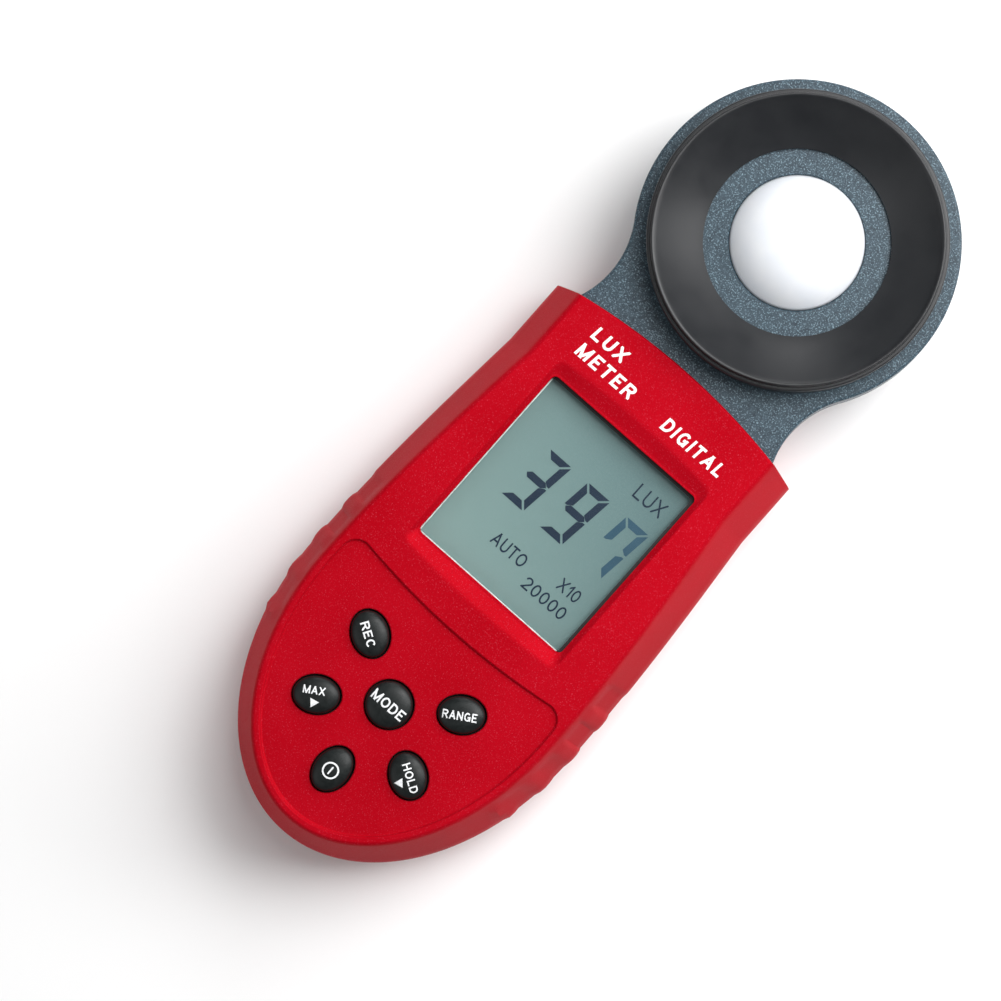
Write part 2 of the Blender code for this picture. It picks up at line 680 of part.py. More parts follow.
def make_front_cover():
    heights = (PARTING_HEIGHT + PARTING_GAP / 2, Z_STRIP_TOP, BODY_HEIGHT - EDGE_ROUND, BODY_HEIGHT)
    cover = loft("front_cover", [level(body_outline(front_slope(z)), z) for z in heights], "red")
    heights = (PARTING_HEIGHT - WALL, PARTING_HEIGHT, Z_STRIP_TOP, Z_CEILING)
    hollow = [level(body_outline(front_slope(z), WALL), z) for z in heights]
    cut(cover, loft("front_hollow", hollow))

    tongue_half = TONGUE_WIDTH / 2 + GAP
    cut(cover, box("neck_slot", (-tongue_half, Y_SHOULDER - TONGUE_DEPTH - GAP, 0),
                   (tongue_half, Y_SHOULDER + 2 * TOP_CROWN, Z_NECK_TOP + GAP)))

    # The wall keeps its thickness under the recessed key panel.
    join(cover, plate("panel_backing", panel_outline(), Z_CEILING - PANEL_DEPTH, Z_CEILING + WALL / 4))
    cut(cover, plate("panel_recess", panel_outline(), Z_PANEL, BODY_HEIGHT + WALL))
    for name, x, y, length, width, turn in key_places():
        hole = ellipse(x, y, length / 2 + KEY_CLEARANCE, width / 2 + KEY_CLEARANCE, turn)
        cut(cover, plate(name + "_hole", hole, Z_CEILING - WALL, BODY_HEIGHT + WALL))

    floor = BODY_HEIGHT - SURROUND_DEPTH
    rise = BODY_HEIGHT + SURROUND_DEPTH
    rings = [surround_ring(SURROUND_SIDE * 0.2, SURROUND_END * 0.2, 0, floor),
             surround_ring(SURROUND_SIDE * 1.8, SURROUND_END * 1.8, 2 * SURROUND_BOW, rise)]
    cut(cover, loft("window_slope", rings))
    opening = rounded_rectangle(0, Y_WINDOW, WINDOW_WIDTH, WINDOW_HEIGHT, WINDOW_CORNER)
    cut(cover, plate("window_opening", opening, Z_CEILING - WALL, BODY_HEIGHT + WALL))

    boss_low = PARTING_HEIGHT + PARTING_GAP / 2
    boss_top = Z_BOARD_LOW - GAP
    for i, (x, y, side) in enumerate(case_screw_places()):
        reach = half_width(y, front_slope(boss_top)) - WALL / 2
        join(cover, cylinder(f"front_boss_{i}", x, y, boss_low, boss_top, CASE_BOSS_RADIUS))
        web = sorted((x, side * reach))
        join(cover, box(f"front_web_{i}", (web[0], y - WALL / 2, boss_low),
                        (web[1], y + WALL / 2, boss_top)))
        cut(cover, cylinder(f"front_pilot_{i}", x, y, boss_low - WALL, CASE_SEAT_HEIGHT
                            + CASE_SCREW_LENGTH + GAP, CASE_SCREW_SHANK + SCREW_CLEARANCE))
    for i, (x, y) in enumerate(post_places()):
        join(cover, cylinder(f"board_post_{i}", x, y, Z_BOARD_TOP + GAP, Z_CEILING + WALL / 4, POST_RADIUS))
        cut(cover, cylinder(f"post_pilot_{i}", x, y, Z_BOARD_TOP, Z_BOARD_LOW - GAP + SMALL_SCREW_LENGTH
                            + GAP, SMALL_SCREW_SHANK + SCREW_CLEARANCE))


# ---- Rear cover and battery door

def rear_outer(name, slot=None):
    """The outside of the rear cover, curved in towards the back."""
    rings = []
    for i in range(BACK_STEPS + 1):
        z = (PARTING_HEIGHT - PARTING_GAP / 2) * (i / BACK_STEPS) ** 1.6
        rings.append(level(body_outline(0, back_inset(z)), z))
    return loft(name, rings, slot)


def make_rear_cover():
    cover = rear_outer("rear_cover", "red")
    heights = (WALL, WALL * 2, PARTING_HEIGHT / 2, PARTING_HEIGHT + WALL)
    hollow = [level(body_outline(0, WALL + back_inset(z)), z) for z in heights]
    cut(cover, loft("rear_hollow", hollow))

    # The battery chamber is moulded in one with the cover; its roof carries the board's clearance.
    wall_half = CHAMBER_HALF + CHAMBER_WALL
    join(cover, box("chamber_block", (-wall_half, Y_CHAMBER - CHAMBER_WALL, WALL / 2),
                    (wall_half, Y_CHAMBER_TOP + CHAMBER_WALL, Z_CHAMBER_TOP + CHAMBER_WALL)))
    opening_top = WALL + SLIDE_CLEARANCE
    floor_inset = back_inset(opening_top) + WALL * END_FLOOR_INSET
    end_floor = [(x, y) for x, y in body_outline(0, floor_inset) if y < Y_CHAMBER]
    join(cover, plate("end_floor", end_floor, WALL / 2, opening_top + CHAMBER_WALL))
    for i, (x, y, _) in enumerate(case_screw_places()):
        join(cover, cylinder(f"rear_boss_{i}", x, y, WALL / 2, PARTING_HEIGHT, CASE_BOSS_RADIUS))

    cut(cover, box("chamber", (-CHAMBER_HALF, Y_CHAMBER, -WALL),
                   (CHAMBER_HALF, Y_CHAMBER_TOP, Z_CHAMBER_TOP)))
    cut(cover, box("door_opening", (-CHAMBER_HALF, Y_PAST_END, -WALL),
                   (CHAMBER_HALF, Y_DOOR_TOP, opening_top)))
    groove_half = DOOR_HALF + DOOR_TONGUE + SLIDE_CLEARANCE
    groove_low = (WALL - DOOR_TONGUE_HEIGHT) / 2 - SLIDE_CLEARANCE
    groove_top = (WALL + DOOR_TONGUE_HEIGHT) / 2 + SLIDE_CLEARANCE
    cut(cover, box("door_groove", (-groove_half, Y_PAST_END, groove_low),
                   (groove_half, Y_DOOR_TOP, groove_top)))
    for i, (x, y, _) in enumerate(case_screw_places()):
        cut(cover, cylinder(f"head_well_{i}", x, y, -WALL, CASE_SEAT_HEIGHT - GAP,
                            CASE_SCREW_HEAD + SCREW_CLEARANCE))
        cut(cover, cylinder(f"shank_hole_{i}", x, y, -WALL, CASE_SEAT_HEIGHT + CASE_SCREW_LENGTH + GAP,
                            CASE_SCREW_SHANK + SCREW_CLEARANCE))
        cut(cover, cylinder(f"boss_relief_{i}", x, y, PARTING_HEIGHT - PARTING_GAP, Z_BOARD_LOW,
                            CASE_BOSS_RADIUS + 2 * GAP))
    for name, x in lead_places():
        cut(cover, box(name + "_notch",
                       (x - LEAD_DIAMETER, Y_CHAMBER_TOP - WALL / 2, Z_CELL - LEAD_DIAMETER),
                       (x + LEAD_DIAMETER, Y_CHAMBER_TOP + 2 * CHAMBER_WALL, Z_CELL + LEAD_DIAMETER)))


def make_battery_door():
    """A sliding door with a tongue along each side and grip ribs; it leaves at the lower end."""
    top = Y_DOOR_TOP - SLIDE_CLEARANCE
    door = box("battery_door", (-DOOR_HALF, Y_PAST_END, -WALL), (DOOR_HALF, top, WALL), "red")
    half = DOOR_HALF + DOOR_TONGUE
    join(door, box("door_tongues", (-half, Y_PAST_END, (WALL - DOOR_TONGUE_HEIGHT) / 2),
                   (half, top, (WALL + DOOR_TONGUE_HEIGHT) / 2)))
    boolean(door, rear_outer("door_shape"), "INTERSECT")
    for i in range(DOOR_RIB_COUNT):
        y = top - DOOR_RIB_PITCH * (i + DOOR_RIB_START)
        cut(door, box(f"door_rib_{i}", (-DOOR_HALF / 2, y - DOOR_RIB_PITCH / 4, -WALL),
                      (DOOR_HALF / 2, y + DOOR_RIB_PITCH / 4, DOOR_RIB_DEPTH)))


# ---- Head and sensor

def make_head():
    ring = head_outline()
    inner = head_outline(HEAD_WALL, TONGUE_DEPTH)
    front = loft("head_front_plate", [level(ring, HEAD_PARTING + GAP / 2),
                                      level(ring, Z_NECK_TOP - HEAD_EDGE),
                                      level(head_outline(HEAD_EDGE), Z_NECK_TOP)], "head_grey")
    cut(front, plate("head_front_hollow", inner, HEAD_PARTING - WALL, HEAD_CEILING))
    rear = loft("head_rear_shell", [level(head_outline(HEAD_BACK_EDGE), HEAD_LOW),
                                    level(head_outline(HEAD_BACK_EDGE / 3), HEAD_LOW + HEAD_BACK_EDGE / 3),
                                    level(ring, HEAD_LOW + HEAD_BACK_EDGE),
                                    level(ring, HEAD_PARTING - GAP / 2)], "head_grey")
    cut(rear, plate("head_rear_hollow", inner, HEAD_FLOOR, HEAD_PARTING + WALL))
    cut(front, cylinder("dome_hole", 0, Y_HEAD, HEAD_CEILING - WALL, Z_NECK_TOP + WALL,
                        DOME_RADIUS + GAP, steps=BIG_ROUND))

    seat = HEAD_FLOOR + CASE_SCREW_HEAD_HEIGHT / 2
    for i, (x, y) in enumerate(head_screw_places()):
        join(rear, cylinder(f"head_rear_boss_{i}", x, y, HEAD_LOW + HEAD_WALL / 2,
                            HEAD_PARTING - GAP / 2, HEAD_BOSS_RADIUS))
        join(front, cylinder(f"head_front_boss_{i}", x, y, HEAD_PARTING + GAP / 2,
                             HEAD_CEILING + HEAD_WALL / 4, HEAD_BOSS_RADIUS))
        cut(rear, cylinder(f"head_screw_well_{i}", x, y, HEAD_LOW - WALL, seat - GAP,
                           SMALL_SCREW_HEAD + SCREW_CLEARANCE))
        cut(rear, cylinder(f"head_screw_hole_{i}", x, y, HEAD_LOW - WALL, HEAD_PARTING + WALL,
                           SMALL_SCREW_SHANK + SCREW_CLEARANCE))
        cut(front, cylinder(f"head_screw_pilot_{i}", x, y, HEAD_PARTING - WALL,
                            seat + HEAD_SCREW_LENGTH - GAP, SMALL_SCREW_SHANK + SCREW_CLEARANCE))
        part = screw(f"head_screw_{i + 1}", x, y, seat - 2 * GAP, SMALL_SCREW_HEAD, SMALL_SCREW_HEAD_HEIGHT,
                     SMALL_SCREW_SHANK, HEAD_SCREW_LENGTH)
        add_cross(part, seat - 2 * GAP, SMALL_SCREW_HEAD, SMALL_SCREW_HEAD_HEIGHT)

    board = cylinder("sensor_board", 0, Y_HEAD, Z_SENSOR_LOW, Z_SENSOR_TOP, SENSOR_BOARD_RADIUS,
                     "board", BIG_ROUND)
    for i, (x, y) in enumerate(sensor_screw_places()):
        join(front, cylinder(f"sensor_post_{i}", x, y, Z_SENSOR_TOP + GAP, HEAD_CEILING + HEAD_WALL / 4,
                             SENSOR_POST_RADIUS))
        tip = Z_SENSOR_LOW - GAP + SMALL_SCREW_LENGTH
        cut(front, cylinder(f"sensor_pilot_{i}", x, y, Z_SENSOR_LOW, tip + GAP,
                            SMALL_SCREW_SHANK + SCREW_CLEARANCE))
        cut(board, cylinder(f"sensor_board_hole_{i}", x, y, Z_SENSOR_LOW - WALL, Z_SENSOR_TOP + WALL,
                            SMALL_SCREW_SHANK + SCREW_CLEARANCE))
        screw(f"sensor_board_screw_{i + 1}", x, y, Z_SENSOR_LOW - GAP, SMALL_SCREW_HEAD,
              SMALL_SCREW_HEAD_HEIGHT, SMALL_SCREW_SHANK, SMALL_SCREW_LENGTH)


def make_sensor():
    place = Matrix.Translation((0, Y_HEAD, 0))
    low = Z_NECK_TOP + GAP
    top = low + BEZEL_HEIGHT
    step = BEZEL_LIP
    bezel = ((BEZEL_RIM - step, top), (BEZEL_RIM, top - step / 2), (BEZEL_RIM, top - 2 * step),
             (BEZEL_RADIUS - step, top - 2 * step), (BEZEL_RADIUS, top - 4 * step), (BEZEL_RADIUS, low),
             (BEZEL_THROAT, low), (BEZEL_THROAT, low + step))
    turned("sensor_bezel", bezel, "black_satin", BIG_ROUND, place)

    flange = DOME_RADIUS + DOME_FLANGE
    sphere = (DOME_RADIUS ** 2 + DOME_RISE ** 2) / (2 * DOME_RISE)
    centre = Z_NECK_TOP + DOME_RISE - sphere
    tilt = math.asin(DOME_RADIUS / sphere)
    outer = []
    for i in range(DOME_STEPS + 1):
        angle = tilt * i / DOME_STEPS
        outer.append((sphere * math.sin(angle), centre + sphere * math.cos(angle)))
    skin = sphere - DOME_SHELL
    inner_radius = DOME_RADIUS - DOME_SHELL
    inner_tilt = math.asin(inner_radius / skin)
    inner = []
    for i in range(DOME_STEPS - 1):
        angle = inner_tilt * (1 - i / (DOME_STEPS - 2))
        inner.append((skin * math.sin(angle), centre + skin * math.cos(angle)))
    flange_top = Z_DOME_FLANGE + DOME_FLANGE_HEIGHT
    rim = [(DOME_RADIUS, flange_top), (flange, flange_top), (flange, Z_DOME_FLANGE),
           (inner_radius, Z_DOME_FLANGE)]
    profile = outer + rim + inner
    turned("diffuser_dome", profile, "white_dome", BIG_ROUND, place)

    diode_low = Z_SENSOR_TOP + GAP
    filter_low = diode_low + DIODE_HEIGHT + GAP
    half = DIODE_SIZE / 2
    box("photodiode", (-half, Y_HEAD - half, diode_low),
        (half, Y_HEAD + half, diode_low + DIODE_HEIGHT), "chip")
    cylinder("photopic_filter", 0, Y_HEAD, filter_low, filter_low + FILTER_HEIGHT, FILTER_RADIUS,
             "filter", MID_ROUND)
    inside = FILTER_RADIUS + GAP
    holder = cylinder("filter_holder", 0, Y_HEAD, diode_low, filter_low + FILTER_HEIGHT,
                      inside + HOLDER_WALL, "black_satin", MID_ROUND)
    cut(holder, cylinder("holder_bore", 0, Y_HEAD, diode_low - WALL, filter_low + WALL, inside,
                         steps=MID_ROUND))


# ---- Display, boards and keypad

def frame_piece(name, width, height, wall, low, high, slot):
    """A rectangular frame whose opening is width by height."""
    piece = box(name, (-width / 2 - wall, Y_WINDOW - height / 2 - wall, low),
                (width / 2 + wall, Y_WINDOW + height / 2 + wall, high), slot)
    cut(piece, box(name + "_opening", (-width / 2, Y_WINDOW - height / 2, low - WALL),
                   (width / 2, Y_WINDOW + height / 2, high + WALL)))


def make_display():
    lens_width = WINDOW_WIDTH + 2 * LENS_MARGIN
    lens_height = WINDOW_HEIGHT + 2 * LENS_MARGIN
    lens_low = Z_LENS_TOP - LENS_THICKNESS
    lens = rounded_rectangle(0, Y_WINDOW, lens_width, lens_height, WINDOW_CORNER)
    plate("window_lens", lens, lens_low, Z_LENS_TOP, "clear")
    frame_piece("window_gasket", lens_width + 2 * GAP, lens_height + 2 * GAP, GASKET_WIDTH,
                lens_low, Z_LENS_TOP, "black_satin")
    lcd_width = WINDOW_WIDTH + 2 * LCD_MARGIN
    lcd_height = WINDOW_HEIGHT + 2 * LCD_MARGIN
    box("lcd_panel", (-lcd_width / 2, Y_WINDOW - lcd_height / 2, Z_LCD_LOW),
        (lcd_width / 2, Y_WINDOW + lcd_height / 2, Z_LCD_TOP), "lcd")
    frame_piece("lcd_bracket", lcd_width + 2 * GAP, lcd_height + 2 * GAP, BRACKET_WALL,
                Z_BOARD_TOP + GAP, Z_LCD_TOP, "black_satin")
    for name, end in (("zebra_strip_upper", 1), ("zebra_strip_lower", -1)):
        outer = Y_WINDOW + end * (lcd_height / 2)
        edges = sorted((outer, outer - end * ZEBRA_WIDTH))
        box(name, (-lcd_width / 2 + ZEBRA_WIDTH, edges[0], Z_ZEBRA_LOW),
            (lcd_width / 2 - ZEBRA_WIDTH, edges[1], Z_ZEBRA_LOW + ZEBRA_HEIGHT), "silicone")


def board_outline():
    """The main board: square at the head end, widely rounded at the lower end."""
    half = BOARD_WIDTH / 2
    end = Y_END + BOARD_END_RISE
    points = [(half, Y_BOARD_TOP), (-half, Y_BOARD_TOP)]
    for start, centre_x in ((math.pi, BOARD_CORNER - half), (1.5 * math.pi, half - BOARD_CORNER)):
        for i in range(BOARD_STEPS + 1):
            angle = start + math.pi / 2 * i / BOARD_STEPS
            points.append((centre_x + BOARD_CORNER * math.cos(angle),
                           end + BOARD_CORNER * (1 + math.sin(angle))))
    return points


def make_boards():
    board = plate("main_board", board_outline(), Z_BOARD_LOW, Z_BOARD_TOP, "board")
    for i, (x, y) in enumerate(post_places()):
        cut(board, cylinder(f"board_hole_{i}", x, y, Z_BOARD_LOW - WALL, Z_BOARD_TOP + WALL,
                            SMALL_SCREW_SHANK + SCREW_CLEARANCE))
        screw(f"board_screw_{i + 1}", x, y, Z_BOARD_LOW - GAP, SMALL_SCREW_HEAD, SMALL_SCREW_HEAD_HEIGHT,
              SMALL_SCREW_SHANK, SMALL_SCREW_LENGTH)

    # Components hang under the board, in the space beyond the battery chamber.
    under = Z_BOARD_LOW - GAP
    base = Y_CHAMBER_TOP + CHAMBER_WALL
    chip_top = Y_BOARD_TOP - 5 * LEAD_DIAMETER
    box("processor_chip", (-CHIP_SIZE / 2, chip_top - CHIP_SIZE, under - CHIP_HEIGHT),
        (CHIP_SIZE / 2, chip_top, under), "chip")
    crystal_y = base + CRYSTAL_REACH
    box("crystal", (CRYSTAL_X - CRYSTAL_WIDTH / 2, crystal_y, under - CRYSTAL_HEIGHT),
        (CRYSTAL_X + CRYSTAL_WIDTH / 2, crystal_y + CRYSTAL_LENGTH, under), "steel")
    cylinder("filter_capacitor", -COMPONENT_X, base + CAPACITOR_REACH, under - CAPACITOR_HEIGHT, under,
             CAPACITOR_RADIUS, "black_satin", MID_ROUND)
    cylinder("calibration_trimmer", -COMPONENT_X, base + TRIMMER_REACH, under - TRIMMER_HEIGHT, under,
             TRIMMER_RADIUS, "silicone", MID_ROUND)


def make_keypad():
    low = Z_BOARD_TOP + GAP
    for key in key_places():
        make_key(*key)
    end = Y_KEYS - POWER_STEP - POWER_KEY_LENGTH / 2
    top = Y_KEYS + KEY_STEP + OUTER_KEY_LENGTH / 2 + MAT_MARGIN / 2
    half = KEY_SPREAD + OUTER_KEY_LENGTH / 2 + MAT_MARGIN / 2
    outline = rounded_rectangle(0, (top + end) / 2, 2 * half, top - end, BOARD_CORNER, 8)
    mat = plate("keypad_mat", outline, low, low + MAT_THICKNESS, "silicone")
    for name, x, y, *_ in key_places():
        cut(mat, cylinder(name + "_mat_hole", x, y, low - WALL, low + WALL, PLUNGER_RADIUS + KEY_CLEARANCE))


# ---- Batteries

def cell_places():
    """Centre of each cell across the chamber, and +1 where its plus end points to the head."""
    for i in range(CELL_COUNT):
        yield i + 1, (i - (CELL_COUNT - 1) / 2) * CELL_PITCH, 1 if i % 2 == 0 else -1


def lead_places():
    reach = (CELL_COUNT - 1) / 2 * CELL_PITCH
    return (("battery_lead_red", -reach), ("battery_lead_black", reach))


def make_batteries():
    for number, x, direction in cell_places():
        plus_end = Y_CHAMBER_TOP if direction > 0 else Y_CHAMBER
        minus_end = Y_CHAMBER if direction > 0 else Y_CHAMBER_TOP
        tip = plus_end - direction * (2 * GAP + CONTACT_THICKNESS)
        radius = CELL_DIAMETER / 2
        can = CELL_LENGTH - NUB_LENGTH
        edge = NUB_LENGTH / 2
        profile = ((0, CELL_LENGTH), (NUB_RADIUS, CELL_LENGTH), (NUB_RADIUS, can), (radius - edge, can),
                   (radius, can - edge), (radius, edge), (radius - edge, 0), (0, 0))
        place = Matrix.Translation((x, tip - direction * CELL_LENGTH, Z_CELL))
        turn = Matrix.Rotation(-direction * math.pi / 2, 4, "X")
        turned(f"battery_cell_{number}", profile, "cell", MID_ROUND, place @ turn)

        for kind, end, inward in (("plus", plus_end, -direction), ("minus", minus_end, direction)):
            faces = sorted((end + inward * GAP, end + inward * (GAP + CONTACT_THICKNESS)))
            box(f"contact_{kind}_{number}", (x - CONTACT_SIZE / 2, faces[0], Z_CELL - CONTACT_SIZE / 2),
                (x + CONTACT_SIZE / 2, faces[1], Z_CELL + CONTACT_SIZE / 2), "steel")
        start = minus_end + direction * (2 * GAP + CONTACT_THICKNESS + SPRING_WIRE / 2)
        length = SPRING_LENGTH - 2 * GAP - SPRING_WIRE
        points = []
        steps = SPRING_TURNS * COIL_STEPS
        for i in range(steps + 1):
            share = i / steps
            angle = math.tau * SPRING_TURNS * share
            coil = CONTACT_SIZE * (SPRING_BASE - SPRING_TAPER * share)
            points.append((x + coil * math.cos(angle), start + direction * length * share,
                           Z_CELL + coil * math.sin(angle)))
        wire(f"battery_spring_{number}", points, SPRING_WIRE, "steel")


def make_leads():
    """Two battery leads up to the board, and the sensor's lead through the neck."""
    for name, x in lead_places():
        start = Y_CHAMBER_TOP + GAP / 3
        bend = Y_CHAMBER_TOP + CHAMBER_WALL + LEAD_DIAMETER
        rise = Z_BOARD_LOW - GAP
        points = [(x, start, Z_CELL), (x, bend, Z_CELL),
                  (x, bend + LEAD_DIAMETER * 0.7, Z_CELL + LEAD_DIAMETER * 0.4),
                  (x, bend + LEAD_DIAMETER, Z_CELL + LEAD_DIAMETER), (x, bend + LEAD_DIAMETER, rise)]
        wire(name, points, LEAD_DIAMETER, name.replace("battery_", ""))
    low = Z_SENSOR_LOW - GAP
    run = low - 2 * LEAD_DIAMETER
    exit_y = Y_HEAD - SENSOR_BOARD_RADIUS * 0.6
    board_y = Y_BOARD_TOP - 3 * LEAD_DIAMETER
    under = Z_BOARD_LOW - GAP
    deep = under - 1.5 * LEAD_DIAMETER
    points = [(0, exit_y, low), (0, exit_y, run + LEAD_DIAMETER / 2), (0, exit_y - LEAD_DIAMETER, run)]
    for i in range(1, LEAD_STEPS + 1):
        share = i / LEAD_STEPS
        y = exit_y - LEAD_DIAMETER + (board_y + LEAD_DIAMETER - exit_y + LEAD_DIAMETER) * share
        points.append((0, y, run + (deep - run) * (1 - math.cos(math.pi * share)) / 2))
    points += [(0, board_y, deep + LEAD_DIAMETER / 2), (0, board_y, under)]
    wire("sensor_lead", points, LEAD_DIAMETER, "lead_black")


def make_case_screws():
    seat = CASE_SEAT_HEIGHT - 2 * GAP
    for i, (x, y, _) in enumerate(case_screw_places()):
        part = screw(f"case_screw_{i + 1}", x, y, seat, CASE_SCREW_HEAD, CASE_SCREW_HEAD_HEIGHT,
                     CASE_SCREW_SHANK, CASE_SCREW_LENGTH)
        add_cross(part, seat, CASE_SCREW_HEAD, CASE_SCREW_HEAD_HEIGHT)


make_front_cover()
make_rear_cover()
make_battery_door()
make_head()
make_sensor()
make_display()
make_boards()
make_keypad()
make_batteries()
make_leads()
make_case_screws()
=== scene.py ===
"""Looks of the handheld light meter: fine meshes, materials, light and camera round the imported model."""

import math

import bmesh
import bpy
from mathutils import Matrix, Vector


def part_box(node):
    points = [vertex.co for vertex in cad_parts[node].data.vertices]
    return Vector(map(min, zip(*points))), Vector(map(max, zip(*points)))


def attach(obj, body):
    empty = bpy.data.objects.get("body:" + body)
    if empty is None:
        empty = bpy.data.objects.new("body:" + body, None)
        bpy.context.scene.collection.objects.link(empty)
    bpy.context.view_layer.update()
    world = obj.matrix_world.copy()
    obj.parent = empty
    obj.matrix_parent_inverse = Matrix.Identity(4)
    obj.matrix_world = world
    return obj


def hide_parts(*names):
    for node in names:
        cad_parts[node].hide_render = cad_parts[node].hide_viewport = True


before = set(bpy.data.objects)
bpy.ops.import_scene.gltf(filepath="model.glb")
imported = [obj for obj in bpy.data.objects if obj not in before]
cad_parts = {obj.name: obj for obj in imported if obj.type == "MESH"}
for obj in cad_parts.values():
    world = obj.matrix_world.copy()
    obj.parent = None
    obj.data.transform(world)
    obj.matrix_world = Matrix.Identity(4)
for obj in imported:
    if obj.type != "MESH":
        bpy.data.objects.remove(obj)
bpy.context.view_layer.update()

MM = 0.001

# ---- Sizes of the casing that the boxes don't give
SHOULDER_WIDTH = 53.4 * MM
END_LENGTH = 41.6 * MM
FLARE_DROP = 12.3 * MM
TOP_CROWN = 3.0 * MM
SHOULDER_SLOPE = 5.0 * MM
HIP_SLOPE = 4.2 * MM
END_SLOPE = 3.8 * MM
BACK_ROUND = 4.2 * MM
WALL = 2.0 * MM
PARTING_GAP = 0.3 * MM
GAP = 0.3 * MM
PANEL_DEPTH = 0.6 * MM
PANEL_RIM = 1.4 * MM
PANEL_RISE = 16.5 * MM
PANEL_SAG = 2.1 * MM
PANEL_CORNER = 3.0 * MM
SURROUND_DEPTH = 0.8 * MM
SURROUND_SIDE = 1.0 * MM
SURROUND_END = 2.4 * MM
SURROUND_BOW = 0.8 * MM
WINDOW_WIDTH = 32.1 * MM
WINDOW_HEIGHT = 35.2 * MM
WINDOW_CORNER = 0.9 * MM
NECK_WAIST = 41.2 * MM
NECK_FILLET = 17.0 * MM
TONGUE_WIDTH = 44.0 * MM
HEAD_WALL = 1.8 * MM
GRIP_RIB_PITCH = 7.5 * MM
GRIP_RIB_LENGTH = 3.5 * MM
GRIP_RIB_HEIGHT = 0.55 * MM
GRIP_RECESS = 0.35 * MM
GRIP_RIBS = 4
DOME_FLANGE = 1.8 * MM
DOME_WALL = 1.5 * MM
DOOR_TONGUE = 0.8 * MM
SCREW_CLEARANCE = 0.3 * MM

# ---- Places read from the frame
COVER_LOW, COVER_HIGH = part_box("front_cover")
HEAD_LOW, HEAD_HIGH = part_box("head_front_plate")
SHELL_LOW, SHELL_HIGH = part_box("head_rear_shell")
BEZEL_LOW, BEZEL_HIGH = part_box("sensor_bezel")
DOME_LOW, DOME_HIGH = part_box("diffuser_dome")
LENS_LOW, LENS_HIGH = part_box("window_lens")
LCD_LOW, LCD_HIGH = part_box("lcd_panel")
DOOR_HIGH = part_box("battery_door")[1]
HIP_WIDTH = COVER_HIGH.x - COVER_LOW.x
Z_FACE = COVER_HIGH.z
Z_PARTING = COVER_LOW.z - PARTING_GAP / 2
Y_END = COVER_LOW.y
Y_SHOULDER = COVER_HIGH.y - TOP_CROWN
Y_HIP = Y_END + END_LENGTH
Y_FLARE = Y_SHOULDER - FLARE_DROP
HEAD_RADIUS = (HEAD_HIGH.x - HEAD_LOW.x) / 2
Y_HEAD = HEAD_HIGH.y - HEAD_RADIUS
Z_NECK_TOP = HEAD_HIGH.z
Z_PANEL = Z_FACE - PANEL_DEPTH
Z_CEILING = Z_FACE - WALL


def middle(node):
    low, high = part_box(node)
    return (low + high) / 2


Y_WINDOW = middle("window_lens").y
Y_KEYS = middle("key_mode").y

# ---- Fineness
SIDE_STEPS = 150
END_STEPS = 56
TOP_STEPS = 40
ROUND = 160


# ---- Mesh helpers

def quarter_turn(steps, first=0):
    """The sine and cosine at equal steps through a quarter turn, beginning at step first."""
    angles = [math.pi / 2 * i / steps for i in range(first, steps + 1)]
    return [(math.sin(angle), math.cos(angle)) for angle in angles]


def add_object(name, data):
    obj = bpy.data.objects.new(name, data)
    bpy.context.scene.collection.objects.link(obj)
    return obj


def finish_mesh(bm, name):
    bmesh.ops.recalc_face_normals(bm, faces=bm.faces)
    mesh = bpy.data.meshes.new(name)
    bm.to_mesh(mesh)
    bm.free()
    return add_object(name, mesh)


def loft(name, rings):
    """A closed solid through rings with the same number of points."""
    bm = bmesh.new()
    rows = [[bm.verts.new(point) for point in ring] for ring in rings]
    count = len(rows[0])
    for lower, upper in zip(rows, rows[1:]):
        for i in range(count):
            j = (i + 1) % count
            bm.faces.new((lower[i], lower[j], upper[j], upper[i]))
    bm.faces.new(list(reversed(rows[0])))
    bm.faces.new(rows[-1])
    return finish_mesh(bm, name)


def turned(name, profile, x=0.0, y=0.0, steps=ROUND):
    """A closed profile of (radius, height) turned about an upright axis; radius 0 makes a pole."""
    bm = bmesh.new()
    rows = []
    for radius, height in profile:
        row = []
        for i in range(1 if radius < 1e-7 else steps):
            angle = math.tau * i / steps
            row.append(bm.verts.new((x + radius * math.cos(angle), y + radius * math.sin(angle), height)))
        rows.append(row)
    pairs = list(zip(rows, rows[1:]))
    if len(rows[0]) > 1 or len(rows[-1]) > 1:
        pairs.append((rows[-1], rows[0]))
    for first, second in pairs:
        for i in range(steps):
            j = (i + 1) % steps
            if len(first) == 1:
                bm.faces.new((first[0], second[j], second[i]))
            elif len(second) == 1:
                bm.faces.new((first[i], first[j], second[0]))
            else:
                bm.faces.new((first[i], first[j], second[j], second[i]))
    return finish_mesh(bm, name)


def box(name, low, high):
    bm = bmesh.new()
    size = [high[i] - low[i] for i in range(3)]
    centre = [(high[i] + low[i]) / 2 for i in range(3)]
    bmesh.ops.create_cube(bm, size=1, matrix=Matrix.Translation(centre) @ Matrix.Diagonal((*size, 1)))
    return finish_mesh(bm, name)


def boolean(target, tool, operation="DIFFERENCE"):
    """Cuts, joins or intersects at once, and removes the tool."""
    modifier = target.modifiers.new("boolean", "BOOLEAN")
    modifier.operation = operation
    modifier.solver = "EXACT"
    modifier.object = tool
    graph = bpy.context.evaluated_depsgraph_get()
    mesh = bpy.data.meshes.new_from_object(target.evaluated_get(graph))
    target.modifiers.clear()
    old = target.data
    target.data = mesh
    bpy.data.meshes.remove(old)
    bpy.data.objects.remove(tool, do_unlink=True)


